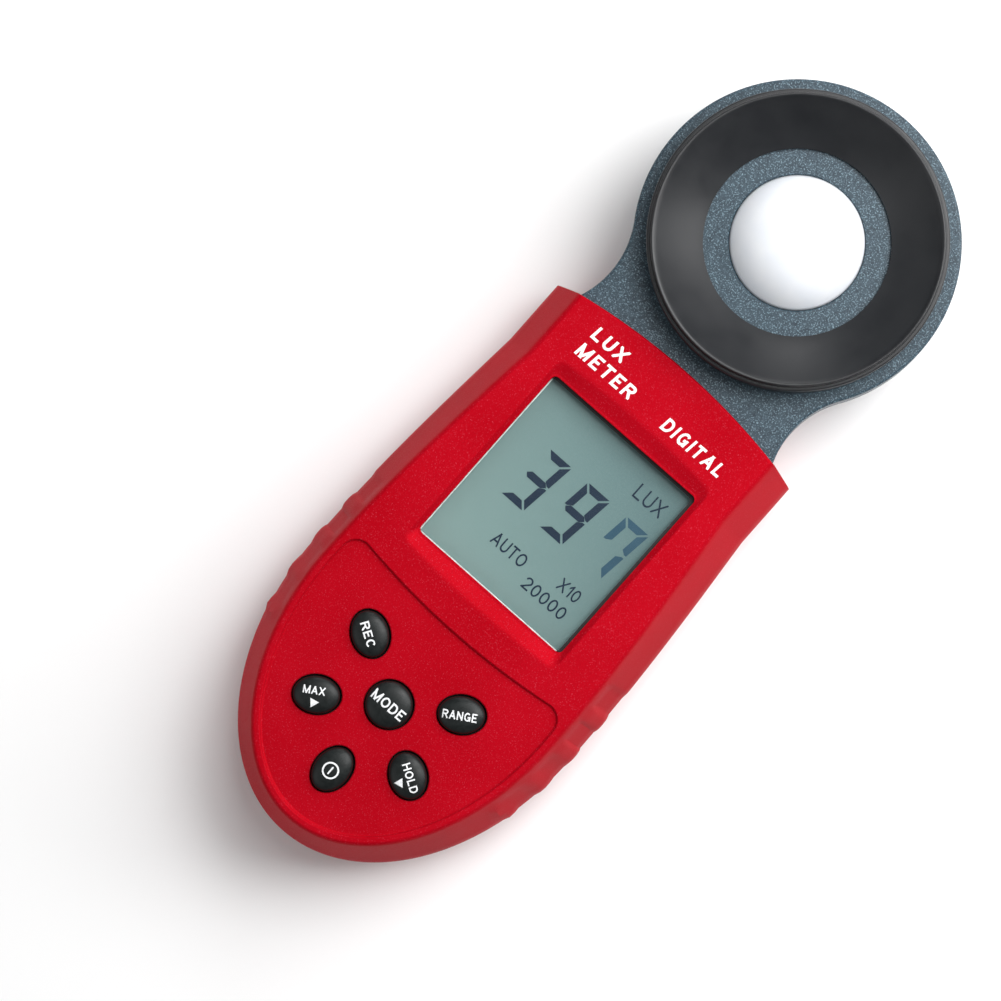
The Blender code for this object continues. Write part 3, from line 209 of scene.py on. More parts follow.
def weld(obj, distance=0.000002):
    bm = bmesh.new()
    bm.from_mesh(obj.data)
    bmesh.ops.remove_doubles(bm, verts=bm.verts, dist=distance)
    bmesh.ops.dissolve_degenerate(bm, dist=distance, edges=bm.edges)
    bm.to_mesh(obj.data)
    bm.free()


def polish(obj, angle=32):
    """Smooth shading that keeps flat faces flat and crisp edges crisp."""
    obj.data.shade_smooth()
    obj.data.set_sharp_from_angle(angle=math.radians(angle))
    normals = obj.modifiers.new("weighted", "WEIGHTED_NORMAL")
    normals.keep_sharp = True
    normals.weight = 80


def put(obj, body, material, slot, *nodes):
    """Finishes a piece: its material, the CAD nodes it stands for and its body; the slot is not used."""
    obj.data.materials.clear()
    obj.data.materials.append(MATERIALS[material])
    if nodes:
        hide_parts(*nodes)
    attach(obj, body)
    return obj


# ---- Materials

class Shader:
    """A material with a Principled shader and short ways to add nodes."""

    def __init__(self, name, colour, roughness, metallic=0.0):
        self.material = bpy.data.materials.new(name)
        self.material.use_nodes = True
        self.tree = self.material.node_tree
        self.main = self.tree.nodes["Principled BSDF"]
        self.set("Base Color", (*colour, 1.0))
        self.set("Roughness", roughness)
        self.set("Metallic", metallic)
        self.place = self.tree.nodes.new("ShaderNodeTexCoord").outputs["Object"]

    def set(self, socket, value):
        self.main.inputs[socket].default_value = value

    def node(self, kind, **inputs):
        node = self.tree.nodes.new(kind)
        for key, value in inputs.items():
            socket = node.inputs[key.replace("_", " ")]
            if isinstance(value, bpy.types.NodeSocket):
                self.tree.links.new(value, socket)
            else:
                socket.default_value = value
        return node

    def noise(self, size, detail=3.0, roughness=0.55):
        """Noise whose features are about size metres across."""
        node = self.node("ShaderNodeTexNoise", Vector=self.place, Scale=1.0 / size, Detail=detail,
                         Roughness=roughness)
        return node.outputs["Fac"]

    def spread(self, value, low=0.0, high=1.0, start=0.3, end=0.7):
        """Maps a value from start..end to low..high."""
        node = self.node("ShaderNodeMapRange", Value=value)
        for key, number in (("From Min", start), ("From Max", end), ("To Min", low), ("To Max", high)):
            node.inputs[key].default_value = number
        return node.outputs["Result"]

    def mix(self, factor, first, second):
        node = self.tree.nodes.new("ShaderNodeMix")
        node.data_type = "RGBA"
        self.tree.links.new(factor, node.inputs["Factor"])
        for index, colour in ((6, first), (7, second)):
            if isinstance(colour, bpy.types.NodeSocket):
                self.tree.links.new(colour, node.inputs[index])
            else:
                node.inputs[index].default_value = (*colour, 1.0)
        return node.outputs[2]

    def link(self, value, socket):
        self.tree.links.new(value, self.main.inputs[socket])

    def tint(self, value, first, second, start=0.3, end=0.7):
        """Colours the surface from the first tone to the second as a value goes from start to end."""
        self.link(self.mix(self.spread(value, 0.0, 1.0, start, end), first, second), "Base Color")

    def bump(self, height, distance, strength=1.0, normal=None):
        node = self.node("ShaderNodeBump", Height=height, Distance=distance, Strength=strength)
        if normal:
            self.tree.links.new(normal, node.inputs["Normal"])
        return node.outputs["Normal"]


def textured_plastic(name, colour, dark, roughness, grain, depth, metallic=0.0, fleck=None):
    """Moulded plastic with a spark-eroded grain, slight colour drift, uneven gloss and perhaps flecks."""
    shader = Shader(name, colour, roughness, metallic)
    tone = shader.mix(shader.spread(shader.noise(18 * MM, 2.0)), colour, dark)
    fine = shader.noise(grain, 2.0, 0.6)
    if fleck:
        tone = shader.mix(shader.spread(fine, 0.0, 0.5, 0.58, 0.76), tone, fleck)
    shader.link(tone, "Base Color")
    shader.link(shader.spread(fine, roughness - 0.07, roughness + 0.09), "Roughness")
    under = shader.bump(shader.noise(grain * 3.1, 2.0), depth * 0.8, 0.6)
    shader.link(shader.bump(fine, depth, 0.9, under), "Normal")
    return shader


def grey_plastic():
    """The head's dark blue-grey plastic: clumps of paler tone and a fine pale sparkle."""
    grey = Shader("grey_plastic", (0.050, 0.080, 0.105), 0.40)
    grey.set("Specular IOR Level", 0.30)
    grain = grey.noise(0.26 * MM, 2.0, 0.60)
    clump = grey.noise(0.9 * MM, 3.0, 0.60)
    body = grey.mix(grey.spread(grey.noise(15 * MM, 2.0)), (0.016, 0.030, 0.044), (0.024, 0.042, 0.058))
    body = grey.mix(grey.spread(clump, 0.0, 1.0, 0.35, 0.65), body, (0.036, 0.062, 0.082))
    grey.link(grey.mix(grey.spread(grain, 0.0, 0.8, 0.53, 0.74), body, (0.24, 0.36, 0.43)), "Base Color")
    grey.link(grey.spread(grain, 0.50, 0.30), "Roughness")
    under = grey.bump(grey.noise(0.20 * MM, 2.0), 0.020 * MM, 0.8)
    grey.link(grey.bump(grain, 0.030 * MM, 0.9, under), "Normal")
    return grey


def display_glass():
    """The display's grey-green with a painted sheen: paler at the lower left, darker at the upper right."""
    lcd = Shader("lcd_glass", (0.22, 0.34, 0.32), 0.30)
    lcd.set("Specular IOR Level", 0.3)
    split = lcd.node("ShaderNodeSeparateXYZ", Vector=lcd.place)
    slope = lcd.node("ShaderNodeMath", Value=split.outputs["X"])
    lcd.tree.links.new(split.outputs["Y"], slope.inputs[1])
    start, end = Y_WINDOW - WINDOW_HEIGHT * 0.85, Y_WINDOW + WINDOW_HEIGHT * 0.6
    # Painted sheen: the glass goes from a pale tone at the lower left to a darker tone at the upper right.
    along = lcd.spread(slope.outputs["Value"], 0.0, 1.0, start, end)
    tone = lcd.mix(along, (0.275, 0.420, 0.400), (0.150, 0.255, 0.260))
    speck = lcd.noise(0.30 * MM, 2.0)
    lcd.link(lcd.mix(lcd.spread(speck, 0.0, 0.10), tone, (0.34, 0.47, 0.44)), "Base Color")
    lcd.link(lcd.bump(speck, 0.003 * MM, 0.4), "Normal")
    return lcd


def cell_jacket(name, side):
    """Printed foil: dark blue with a copper band at the plus end and a pale line beside it."""
    shader = Shader(name, (0.03, 0.05, 0.12), 0.30)
    split = shader.node("ShaderNodeSeparateXYZ", Vector=shader.place)
    low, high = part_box("battery_cell_1" if side > 0 else "battery_cell_2")
    plus = high.y if side > 0 else low.y
    band, line = (shader.spread(split.outputs["Y"], 0.0, 1.0, plus - side * start * MM,
                                plus - side * (start - 0.2) * MM) for start in (12.2, 13.4))
    foil = shader.noise(3.0 * MM, 2.0)
    blue = shader.mix(shader.spread(foil), (0.020, 0.036, 0.105), (0.028, 0.050, 0.135))
    copper = shader.mix(shader.spread(foil), (0.55, 0.27, 0.10), (0.62, 0.33, 0.13))
    white = shader.mix(line, blue, (0.62, 0.64, 0.66))
    shader.link(shader.mix(band, white, copper), "Base Color")
    shader.link(shader.spread(foil, 0.24, 0.34), "Roughness")
    return shader


def make_materials():
    red = textured_plastic("red_plastic", (0.42, 0.002, 0.010), (0.37, 0.001, 0.007), 0.50,
                           0.24 * MM, 0.022 * MM, 0.18, (0.62, 0.06, 0.10))
    red.set("Specular IOR Level", 0.02)

    black = Shader("black_plastic", (0.006, 0.007, 0.009), 0.34)
    black.set("Specular IOR Level", 0.45)
    smear = black.noise(6 * MM, 3.0)
    black.tint(smear, (0.005, 0.006, 0.008), (0.009, 0.010, 0.012))
    black.link(black.spread(smear, 0.36, 0.46), "Roughness")
    black.link(black.bump(black.noise(0.12 * MM, 2.0), 0.004 * MM, 0.6), "Normal")

    dome = Shader("white_diffuser", (0.78, 0.80, 0.84), 0.42)
    dome.set("Subsurface Weight", 0.25)
    dome.set("Subsurface Radius", (1.0, 1.0, 1.0))
    dome.set("Subsurface Scale", 0.002)
    dome.tint(dome.noise(5 * MM, 2.0), (0.76, 0.79, 0.84), (0.81, 0.83, 0.86))
    dome.link(dome.bump(dome.noise(0.15 * MM, 1.0), 0.003 * MM, 0.5), "Normal")

    key = Shader("key_rubber", (0.005, 0.007, 0.007), 0.42)
    key.set("Specular IOR Level", 0.28)
    dust = key.noise(0.9 * MM, 4.0)
    key.tint(dust, (0.004, 0.006, 0.006), (0.008, 0.011, 0.011))
    key.link(key.spread(dust, 0.34, 0.48), "Roughness")
    key.link(key.bump(key.noise(0.10 * MM, 2.0), 0.005 * MM, 0.7), "Normal")

    ink = Shader("white_print", (0.80, 0.82, 0.84), 0.5)
    wear = ink.noise(0.35 * MM, 4.0)
    ink.tint(wear, (0.86, 0.87, 0.88), (0.66, 0.68, 0.70), 0.35, 0.75)
    ink.link(ink.bump(wear, 0.004 * MM, 0.5), "Normal")

    lens = Shader("clear_window", (0.03, 0.04, 0.04), 0.06)
    lens.set("Alpha", 0.10)
    lens.link(lens.spread(lens.noise(9 * MM, 3.0), 0.03, 0.10), "Roughness")

    # Painted highlight: the pale colour of the strip that stands for the window's lit edge.
    edge = Shader("window_painted_highlight", (0.70, 0.78, 0.76), 0.15)
    edge.tint(edge.noise(1.2 * MM, 3.0), (0.78, 0.84, 0.82), (0.50, 0.58, 0.56))

    made = {"red": red, "grey": grey_plastic(), "black": black, "white": dome, "key": key, "ink": ink,
            "lens": lens, "edge": edge, "lcd": display_glass(),
            "cell_up": cell_jacket("cell_up", 1), "cell_down": cell_jacket("cell_down", -1)}
    # The second entry is a paler blue copy of the digit colour, which is painted glare for the last digit.
    for name, colour, faint in (("segment", (0.006, 0.020, 0.048), (0.010, 0.028, 0.060)),
                                ("segment_painted_glare", (0.030, 0.095, 0.150), (0.045, 0.120, 0.180))):
        made[name] = Shader("lcd_" + name, colour, 0.40)
        made[name].set("Specular IOR Level", 0.3)
        made[name].tint(made[name].noise(4 * MM, 2.0), colour, faint)

    # Each plain finish: its two tones, roughness, grain size and depth in millimetres, and metallic.
    plain = {"steel": ((0.58, 0.58, 0.57), (0.48, 0.48, 0.47), 0.28, 0.8, 0.006, 1.0),
             "board": ((0.010, 0.085, 0.035), (0.014, 0.115, 0.045), 0.38, 1.1, 0.010, 0.0),
             "chip": ((0.014, 0.014, 0.015), (0.022, 0.022, 0.024), 0.55, 0.20, 0.008, 0.0),
             "silicone": ((0.16, 0.16, 0.165), (0.20, 0.20, 0.21), 0.60, 0.50, 0.010, 0.0),
             "gasket": ((0.006, 0.006, 0.007), (0.010, 0.010, 0.011), 0.55, 0.25, 0.006, 0.0),
             "filter": ((0.05, 0.22, 0.12), (0.06, 0.26, 0.15), 0.10, 3.0, 0.001, 0.0),
             "wire_red": ((0.45, 0.010, 0.012), (0.38, 0.008, 0.010), 0.45, 0.60, 0.006, 0.0),
             "wire_black": ((0.014, 0.014, 0.014), (0.020, 0.020, 0.020), 0.45, 0.60, 0.006, 0.0)}
    for name, (colour, dark, roughness, grain, depth, metallic) in plain.items():
        made[name] = textured_plastic(name, colour, dark, roughness, grain * MM, depth * MM, metallic)
    return {name: shader.material for name, shader in made.items()}


MATERIALS = make_materials()


# ---- Outlines

def level(points, z):
    return [(x, y, z) for x, y in points]


def smooth(t):
    t = min(1.0, max(0.0, t))
    return t * t * (3 - 2 * t)


def upper_edge(x):
    return Y_SHOULDER + TOP_CROWN * (1 - (x / (SHOULDER_WIDTH / 2)) ** 2)


def half_width(y, slope=0.0):
    """Half the body's width at y, from 0 at the widest level to 1 at the front face."""
    shoulder = SHOULDER_WIDTH / 2 - SHOULDER_SLOPE * slope
    hip = HIP_WIDTH / 2 - HIP_SLOPE * slope
    if y < Y_HIP:
        reach = END_LENGTH - END_SLOPE * slope
        return hip * math.sqrt(max(0.0, 1 - ((Y_HIP - y) / reach) ** 2))
    share = min(1.0, max(0.0, (Y_FLARE - y) / (Y_FLARE - Y_HIP)))
    return shoulder + (hip - shoulder) * math.sin(math.pi / 2 * share)


GRIP_START = Y_WINDOW - 15.0 * MM
GRIP_END = Y_WINDOW - 45.5 * MM
FIRST_RIB = Y_WINDOW - 22.1 * MM


def grip(y):
    """How far the side stands in (negative) or out (positive) at y, with ribs in a shallow recess."""
    if y > GRIP_START or y < GRIP_END:
        return 0.0
    edge = min(GRIP_START - y, y - GRIP_END)
    depth = -GRIP_RECESS * smooth(edge / (1.6 * MM))
    for i in range(GRIP_RIBS):
        centre = FIRST_RIB - GRIP_RIB_PITCH * i
        away = abs(y - centre) / (GRIP_RIB_LENGTH / 2)
        if away < 1:
            depth += GRIP_RIB_HEIGHT * math.sqrt(1 - away ** 2.5)
    return depth


def body_outline(slope=0.0, inset=0.0, top_inset=None, grip_share=0.0):
    """The body's outline at one level; grip_share fades the side ribs in."""
    top_inset = inset if top_inset is None else top_inset
    corner = half_width(Y_SHOULDER, slope) - inset
    top = upper_edge(corner) - top_inset
    side = []
    for i in range(SIDE_STEPS + 1):
        y = top + (Y_HIP - top) * i / SIDE_STEPS
        side.append((half_width(y, slope) - inset + grip(y) * grip_share, y))
    hip = half_width(Y_HIP, slope) - inset
    reach = END_LENGTH - END_SLOPE * slope - inset
    for sine, cosine in quarter_turn(END_STEPS, 1):
        y = Y_HIP - reach * sine
        side.append((hip * cosine + grip(y) * grip_share * cosine, y))
    side[-1] = (0.0, Y_HIP - reach)
    edge = []
    for i in range(1, TOP_STEPS):
        x = corner * (2 * i / TOP_STEPS - 1)
        edge.append((x, upper_edge(x) - top_inset))
    left = [(-x, y) for x, y in reversed(side[:-1])]
    return side + left + edge


def panel_outline(grow=0.0):
    """The recessed keypad panel, grown outwards by grow."""
    top = Y_KEYS + PANEL_RISE + grow
    half = half_width(top + PANEL_SAG, 1.0) - PANEL_RIM + grow
    corner = PANEL_CORNER + grow
    points = []
    for i in range(TOP_STEPS + 1):
        x = (half - corner) * (1 - 2 * i / TOP_STEPS)
        points.append((x, top + PANEL_SAG * (x / half) ** 2))
    left = []
    for sine, cosine in quarter_turn(9, 1):
        left.append((-half + corner * (1 - sine), points[-1][1] - corner * (1 - cosine)))
    hip = half_width(Y_HIP, 1.0) - PANEL_RIM + grow
    reach = END_LENGTH - END_SLOPE - PANEL_RIM + grow
    start_y = left[-1][1]
    for i in range(1, 13):
        share = i / 13
        swell = (hip - half) * math.sin(math.pi / 2 * share)
        left.append((-(half + swell), start_y + (Y_HIP - start_y) * share))
    for sine, cosine in quarter_turn(END_STEPS):
        left.append((-hip * cosine, Y_HIP - reach * sine))
    left[-1] = (0.0, Y_HIP - reach)
    return points + left + [(-x, y) for x, y in reversed(left[:-1])]


def rounded_rectangle(x, y, width, height, corner, steps=8):
    points = []
    for quarter, (side, end) in enumerate(((1, 1), (-1, 1), (-1, -1), (1, -1))):
        centre_x = x + side * (width / 2 - corner)
        centre_y = y + end * (height / 2 - corner)
        for i in range(steps + 1):
            angle = math.pi / 2 * (quarter + i / steps)
            points.append((centre_x + corner * math.cos(angle), centre_y + corner * math.sin(angle)))
    return points


def growing_rectangle(x, y, width, height, corner, share=1.0, steps=8):
    """A rounded rectangle as a function of how far it is grown; its corners take a share of that."""
    return lambda grow: rounded_rectangle(x, y, width + 2 * grow, height + 2 * grow,
                                          corner + grow * share, steps)


def stacked(name, outline, sections, z):
    """A solid through outline(grow) at each (rise, grow) above the height z, both in millimetres."""
    return loft(name, [level(outline(grow * MM), z + rise * MM) for rise, grow in sections])


def ellipse(x, y, half_long, half_short, turn=0.0, steps=96):
    points = []
    for i in range(steps):
        angle = math.tau * i / steps
        along = half_long * math.cos(angle)
        across = half_short * math.sin(angle)
        points.append((x + along * math.cos(turn) - across * math.sin(turn),
                       y + along * math.sin(turn) + across * math.cos(turn)))
    return points


def back_inset(z):
    share = 1 - min(1.0, max(0.0, z / Z_PARTING))
    return BACK_ROUND * (1 - math.sqrt(1 - share ** 2.6))


# ---- Casing

def front_slope(z):
    """How far the front cover's side has sloped in at height z; the last stretch rounds into the face."""
    rise = (z - Z_PARTING) / (Z_FACE - Z_PARTING)
    low_rise = 3.5 * MM / (Z_FACE - Z_PARTING)
    if rise < low_rise:
        return 0.10 * (rise / low_rise) ** 1.6
    return 0.10 + 0.87 * (rise - low_rise) / (1 - low_rise)


def make_front_cover():
    """The red cover: sloped sides with grip ribs, soft face edge, recessed panel, window and neck slot."""
    low = Z_PARTING + PARTING_GAP / 2
    chamfer = 0.12 * MM
    rings = [level(body_outline(0.0, chamfer, grip_share=0.55), low),
             level(body_outline(0.0, 0.0, grip_share=0.6), low + chamfer)]
    fillet = 0.9 * MM
    steps = 16
    for i in range(1, steps + 1):
        z = low + chamfer + (Z_FACE - fillet - low - chamfer) * i / steps
        rise = (z - low) / (Z_FACE - low)
        share = smooth(rise / 0.12) * (1 - smooth((rise - 0.62) / 0.28))
        if rise < 0.4:
            share = 0.6 + 0.4 * share
        rings.append(level(body_outline(front_slope(z), 0.0, grip_share=share), z))
    start = front_slope(Z_FACE - fillet)
    for i in range(1, 8):
        t = i / 7
        slope = (1 - t) ** 2 * start + 2 * t * (1 - t) * 0.985 + t * t * 1.13
        z = (1 - t) ** 2 * (Z_FACE - fillet) + 2 * t * (1 - t) * Z_FACE + t * t * Z_FACE
        rings.append(level(body_outline(slope, 0.0, 0.35 * MM * t * t), z - 0.00001 * MM * (7 - i)))
    cover = loft("front_cover_skin", rings)

    hollow = [level(body_outline(0.0, WALL), low - WALL), level(body_outline(0.10, WALL), low + 3.5 * MM),
              level(body_outline(front_slope(Z_CEILING), WALL), Z_CEILING)]
    boolean(cover, loft("hollow", hollow))
    boolean(cover, box("slot", (-TONGUE_WIDTH / 2 - GAP, HEAD_LOW.y - GAP, 0),
                       (TONGUE_WIDTH / 2 + GAP, COVER_HIGH.y + WALL, Z_NECK_TOP + GAP)))
    cut_panel(cover)
    cut_window(cover)
    cut_key_holes(cover)
    weld(cover)
    polish(cover)
    put(cover, "case", "red", "red_plastic", "front_cover")


def cut_panel(cover):
    sections = ((0.0, -0.35), (0.04, -0.16), (0.16, -0.02), (0.30, 0.0), (0.42, 0.03), (0.54, 0.14),
                (0.60, 0.34), (1.20, 0.34))
    boolean(cover, stacked("panel", panel_outline, sections, Z_PANEL))


def surround_ring(side, end, bow, z, steps=24):
    """The window's surround at one level: bowed ends, straight sides and rounded corners."""
    half = WINDOW_WIDTH / 2 + side
    reach = WINDOW_HEIGHT / 2 + end
    corner = WINDOW_CORNER + side * 0.8
    points = []
    for direction in (1, -1):
        for i in range(steps + 1):
            x = direction * (half - corner) * (1 - 2 * i / steps)
            points.append((x, Y_WINDOW + direction * (reach + bow * (1 - (x / half) ** 2)), z))
        shoulder = points[-1][1]
        for sine, cosine in quarter_turn(6, 1):
            points.append((-direction * (half - corner + corner * sine),
                           shoulder - direction * corner * (1 - cosine), z))
        foot = Y_WINDOW - direction * (reach + bow * (1 - ((half - corner) / half) ** 2) - corner)
        for sine, cosine in quarter_turn(6)[:-1]:
            points.append((-direction * (half - corner + corner * cosine),
                           foot - direction * corner * sine, z))
    return points


def cut_window(cover):
    floor = Z_FACE - SURROUND_DEPTH
    rings = []
    for rise, out in ((0.00, 0.10), (0.03, 0.22), (0.50, 0.62), (0.86, 0.93), (0.97, 1.06), (1.0, 1.25),
                      (1.6, 1.25)):
        rings.append(surround_ring(SURROUND_SIDE * out, SURROUND_END * out, SURROUND_BOW * out,
                                   floor + SURROUND_DEPTH * rise))
    boolean(cover, loft("surround", rings))
    outline = growing_rectangle(0, Y_WINDOW, WINDOW_WIDTH, WINDOW_HEIGHT, WINDOW_CORNER)
    sections = ((-4.0, 0.0), (-0.14, 0.0), (-0.04, 0.04), (0.005, 0.14), (0.6, 0.14))
    boolean(cover, stacked("opening", outline, sections, floor))


# ---- Keys

KEY_SIZES = {"key_record": (8.1, 6.4, -1), "key_range": (8.1, 6.4, 1), "key_mode": (8.1, 8.1, 0),
             "key_max": (8.1, 6.4, 1), "key_hold": (8.1, 6.4, -1), "key_power": (6.2, 8.3, 0)}
KEY_TURN = math.atan2(middle("key_record").y - Y_KEYS, middle("key_range").x)
KEY_CLEARANCE = 0.3 * MM


def key_place(node):
    length, width, lean = KEY_SIZES[node]
    centre = middle(node)
    return centre.x, centre.y, length * MM, width * MM, KEY_TURN * lean


def cut_key_holes(cover):
    sections = ((-4.0, 0.0), (-0.24, 0.0), (-0.10, 0.05), (-0.02, 0.16), (0.005, 0.30), (0.6, 0.30))
    for node in KEY_SIZES:
        x, y, length, width, turn = key_place(node)
        long, short = length / 2 + KEY_CLEARANCE, width / 2 + KEY_CLEARANCE
        boolean(cover, stacked("key_hole", lambda grow: ellipse(x, y, long + grow, short + grow, turn),
                               sections, Z_PANEL))


KEY_SHOULDER = 0.15 * MM     # straight wall of a key above the panel
KEY_POWER = 2.7              # how square the key's crown is


def key_height(node, x, y):
    """The height of a key's domed top at a point given from the key's centre."""
    length, width, turn = key_place(node)[2:]
    along = (x * math.cos(turn) + y * math.sin(turn)) / (length / 2)
    across = (-x * math.sin(turn) + y * math.cos(turn)) / (width / 2)
    radius = min(0.999, math.hypot(along, across))
    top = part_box(node)[1].z
    base = Z_PANEL + KEY_SHOULDER
    return base + (top - base) * (1 - radius ** KEY_POWER) ** (1 / KEY_POWER)


def make_key(node):
    """A rubber key: plunger and flange inside, a soft domed crown outside."""
    x, y, length, width, turn = key_place(node)
    low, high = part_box(node)
    flange_top = Z_CEILING - PANEL_DEPTH - GAP
    flange_low = flange_top - 1.0 * MM
    plunger = 2.2 * MM
    flange = (length / 2 + 0.8 * MM, width / 2 + 0.8 * MM)
    wall = (length / 2, width / 2)
    sections = [(low.z, plunger, plunger), (flange_low, plunger, plunger), (flange_low, *flange),
                (flange_top, *flange), (flange_top, *wall), (Z_PANEL - 0.5 * MM, *wall)]
    base = Z_PANEL + KEY_SHOULDER
    steps = 14
    for i in range(steps + 1):
        angle = math.pi / 2 * 0.985 * i / steps
        out = math.cos(angle) ** (2 / KEY_POWER)
        up = math.sin(angle) ** (2 / KEY_POWER)
        sections.append((base + (high.z - base) * up, length / 2 * out, width / 2 * out))
    rings = [level(ellipse(x, y, a, b, turn), z) for z, a, b in sections]
    key = loft(node + "_skin", rings)
    polish(key, 50)
    put(key, node + "_body", "key", "key_rubber", node)


# ---- Lettering and marks: all generic

INK_THICKNESS = 0.03 * MM


def arc(x, y, half_wide, half_tall, start, end, steps=14):
    """Points along part of an ellipse, from one angle to another in degrees."""
    points = []
    for i in range(steps + 1):
        angle = math.radians(start + (end - start) * i / steps)
        points.append((x + half_wide * math.cos(angle), y + half_tall * math.sin(angle)))
    return points


# Each letter's width, as a share of its height, and its strokes, from 0 to 1 across and up.
LETTERS = {
    "A": (0.80, ([(0, 0), (0.5, 1)], [(1, 0), (0.5, 1)], [(0.18, 0.30), (0.82, 0.30)])),
    "C": (0.76, (arc(0.5, 0.5, 0.5, 0.5, 42, 318),)),
    "D": (0.76, ([(0, 0), (0, 1)], [(0, 1)] + arc(0.42, 0.5, 0.58, 0.5, 90, -90) + [(0, 0)])),
    "E": (0.66, ([(0, 0), (0, 1)], [(0, 1), (1, 1)], [(0, 0.52), (0.92, 0.52)], [(0, 0), (1, 0)])),
    "G": (0.80, (arc(0.5, 0.5, 0.5, 0.5, 42, 345), [(1, 0.08), (1, 0.44)], [(0.55, 0.44), (1, 0.44)])),
    "H": (0.76, ([(0, 0), (0, 1)], [(1, 0), (1, 1)], [(0, 0.52), (1, 0.52)])),
    "I": (0.0, ([(0.5, 0), (0.5, 1)],)),
    "L": (0.62, ([(0, 0), (0, 1)], [(0, 0), (1, 0)])),
    "M": (0.92, ([(0, 0), (0, 1)], [(1, 0), (1, 1)], [(0, 1), (0.5, 0)], [(1, 1), (0.5, 0)])),
    "N": (0.76, ([(0, 0), (0, 1)], [(1, 0), (1, 1)], [(0, 1), (1, 0)])),
    "O": (0.84, (arc(0.5, 0.5, 0.5, 0.5, 0, 360, 28),)),
    "R": (0.74, ([(0, 0), (0, 1)], [(0, 1)] + arc(0.58, 0.755, 0.42, 0.245, 90, -90) + [(0, 0.51)],
                 [(0.52, 0.51), (1, 0)])),
    "T": (0.68, ([(0, 1), (1, 1)], [(0.5, 1), (0.5, 0)])),
    "U": (0.74, ([(0, 1)] + arc(0.5, 0.34, 0.5, 0.34, 180, 360) + [(1, 1)],)),
    "X": (0.76, ([(0, 0), (1, 1)], [(0, 1), (1, 0)])),
    "0": (0.64, (arc(0.5, 0.5, 0.5, 0.5, 0, 360, 28),)),
    "1": (0.34, ([(1, 0), (1, 1)], [(0, 0.76), (1, 1)])),
    "2": (0.64, (arc(0.5, 0.70, 0.5, 0.30, 165, -25) + [(0, 0)], [(0, 0), (1, 0)])),
}


def stroke(points, weight):
    """A thick line as a closed solid one unit high; a line that meets itself runs anticlockwise."""
    closed = math.dist(points[0], points[-1]) < 1e-6
    if closed:
        points = points[:-1]
    count = len(points)
    left, right = [], []
    for i in range(count):
        before = points[i - 1] if closed or i > 0 else None
        after = points[(i + 1) % count] if closed or i < count - 1 else None
        here = Vector(points[i])
        ways = [(Vector(b) - Vector(a)).normalized() for a, b in ((before, here), (here, after)) if a and b]
        way = sum(ways, Vector((0, 0))).normalized()
        across = Vector((-way.y, way.x)) * (weight / 2 / max(0.4, way.dot(ways[0])))
        left.append(here + across)
        right.append(here - across)
    if closed:
        ring = loft("ring", [level(right, 0), level(right, 1)])
        boolean(ring, loft("hole", [level(left, -1), level(left, 2)]))
        return ring
    outline = left + right[::-1]
    return loft("stroke", [level(outline, 0), level(outline, 1)])


LETTER_MESHES = {}
TRIM = 0.002         # cut off a letter's edges, so that no cut runs along a stroke's own side


def letter_faces(letter, weight):
    """The letter's flat faces, one unit tall, as lists of points, and its width."""
    if (letter, weight) in LETTER_MESHES:
        return LETTER_MESHES[letter, weight]
    share, strokes = LETTERS[letter]
    width = max(share, weight)
    solid = None
    for points in strokes:
        placed = [(weight / 2 + x * (width - weight), weight / 2 + y * (1 - weight)) for x, y in points]
        ends = [0, -1] if math.dist(points[0], points[-1]) > 1e-6 else []
        for end in ends:
            here, inner = Vector(placed[end]), Vector(placed[1 if end == 0 else -2])
            way = (here - inner).normalized()
            if points[end][0] in (0, 1) or points[end][1] in (0, 1):
                straight = min(abs(way.x), abs(way.y)) < 0.01
                placed[end] = tuple(here + way * weight * (0.7 if straight else 1.3))
        part = stroke(placed, weight)
        if solid is None:
            solid = part
        else:
            boolean(solid, part, "UNION")
    boolean(solid, box("letter_box", (TRIM, TRIM, -1), (width - TRIM, 1 - TRIM, 2)), "INTERSECT")
    faces = []
    for face in solid.data.polygons:
        if face.normal.z > 0.9:
            faces.append([solid.data.vertices[i].co.xy.copy() for i in face.vertices])
    bpy.data.objects.remove(solid, do_unlink=True)
    LETTER_MESHES[letter, weight] = faces, width
    return faces, width


def lettering(words, height, length, weight, slant=0.0, gap=0.16):
    """A row of plain capitals as a flat mesh, centred on the origin and fitted to a length."""
    letters = [letter_faces(letter, weight) for letter in words]
    total = sum(width for faces, width in letters) + gap * (len(words) - 1)
    stretch = length / (total * height)
    bm = bmesh.new()
    start = -total / 2
    for faces, width in letters:
        for face in faces:
            points = []
            for point in face:
                x = (start + point.x) * height * stretch + slant * (point.y - 0.5) * height
                points.append(bm.verts.new((x, (point.y - 0.5) * height, 0)))
            bm.faces.new(points)
        start += width + gap
    bmesh.ops.remove_doubles(bm, verts=bm.verts, dist=0.000001)
    mesh = bpy.data.meshes.new(words)
    bm.to_mesh(mesh)
    bm.free()
    return mesh


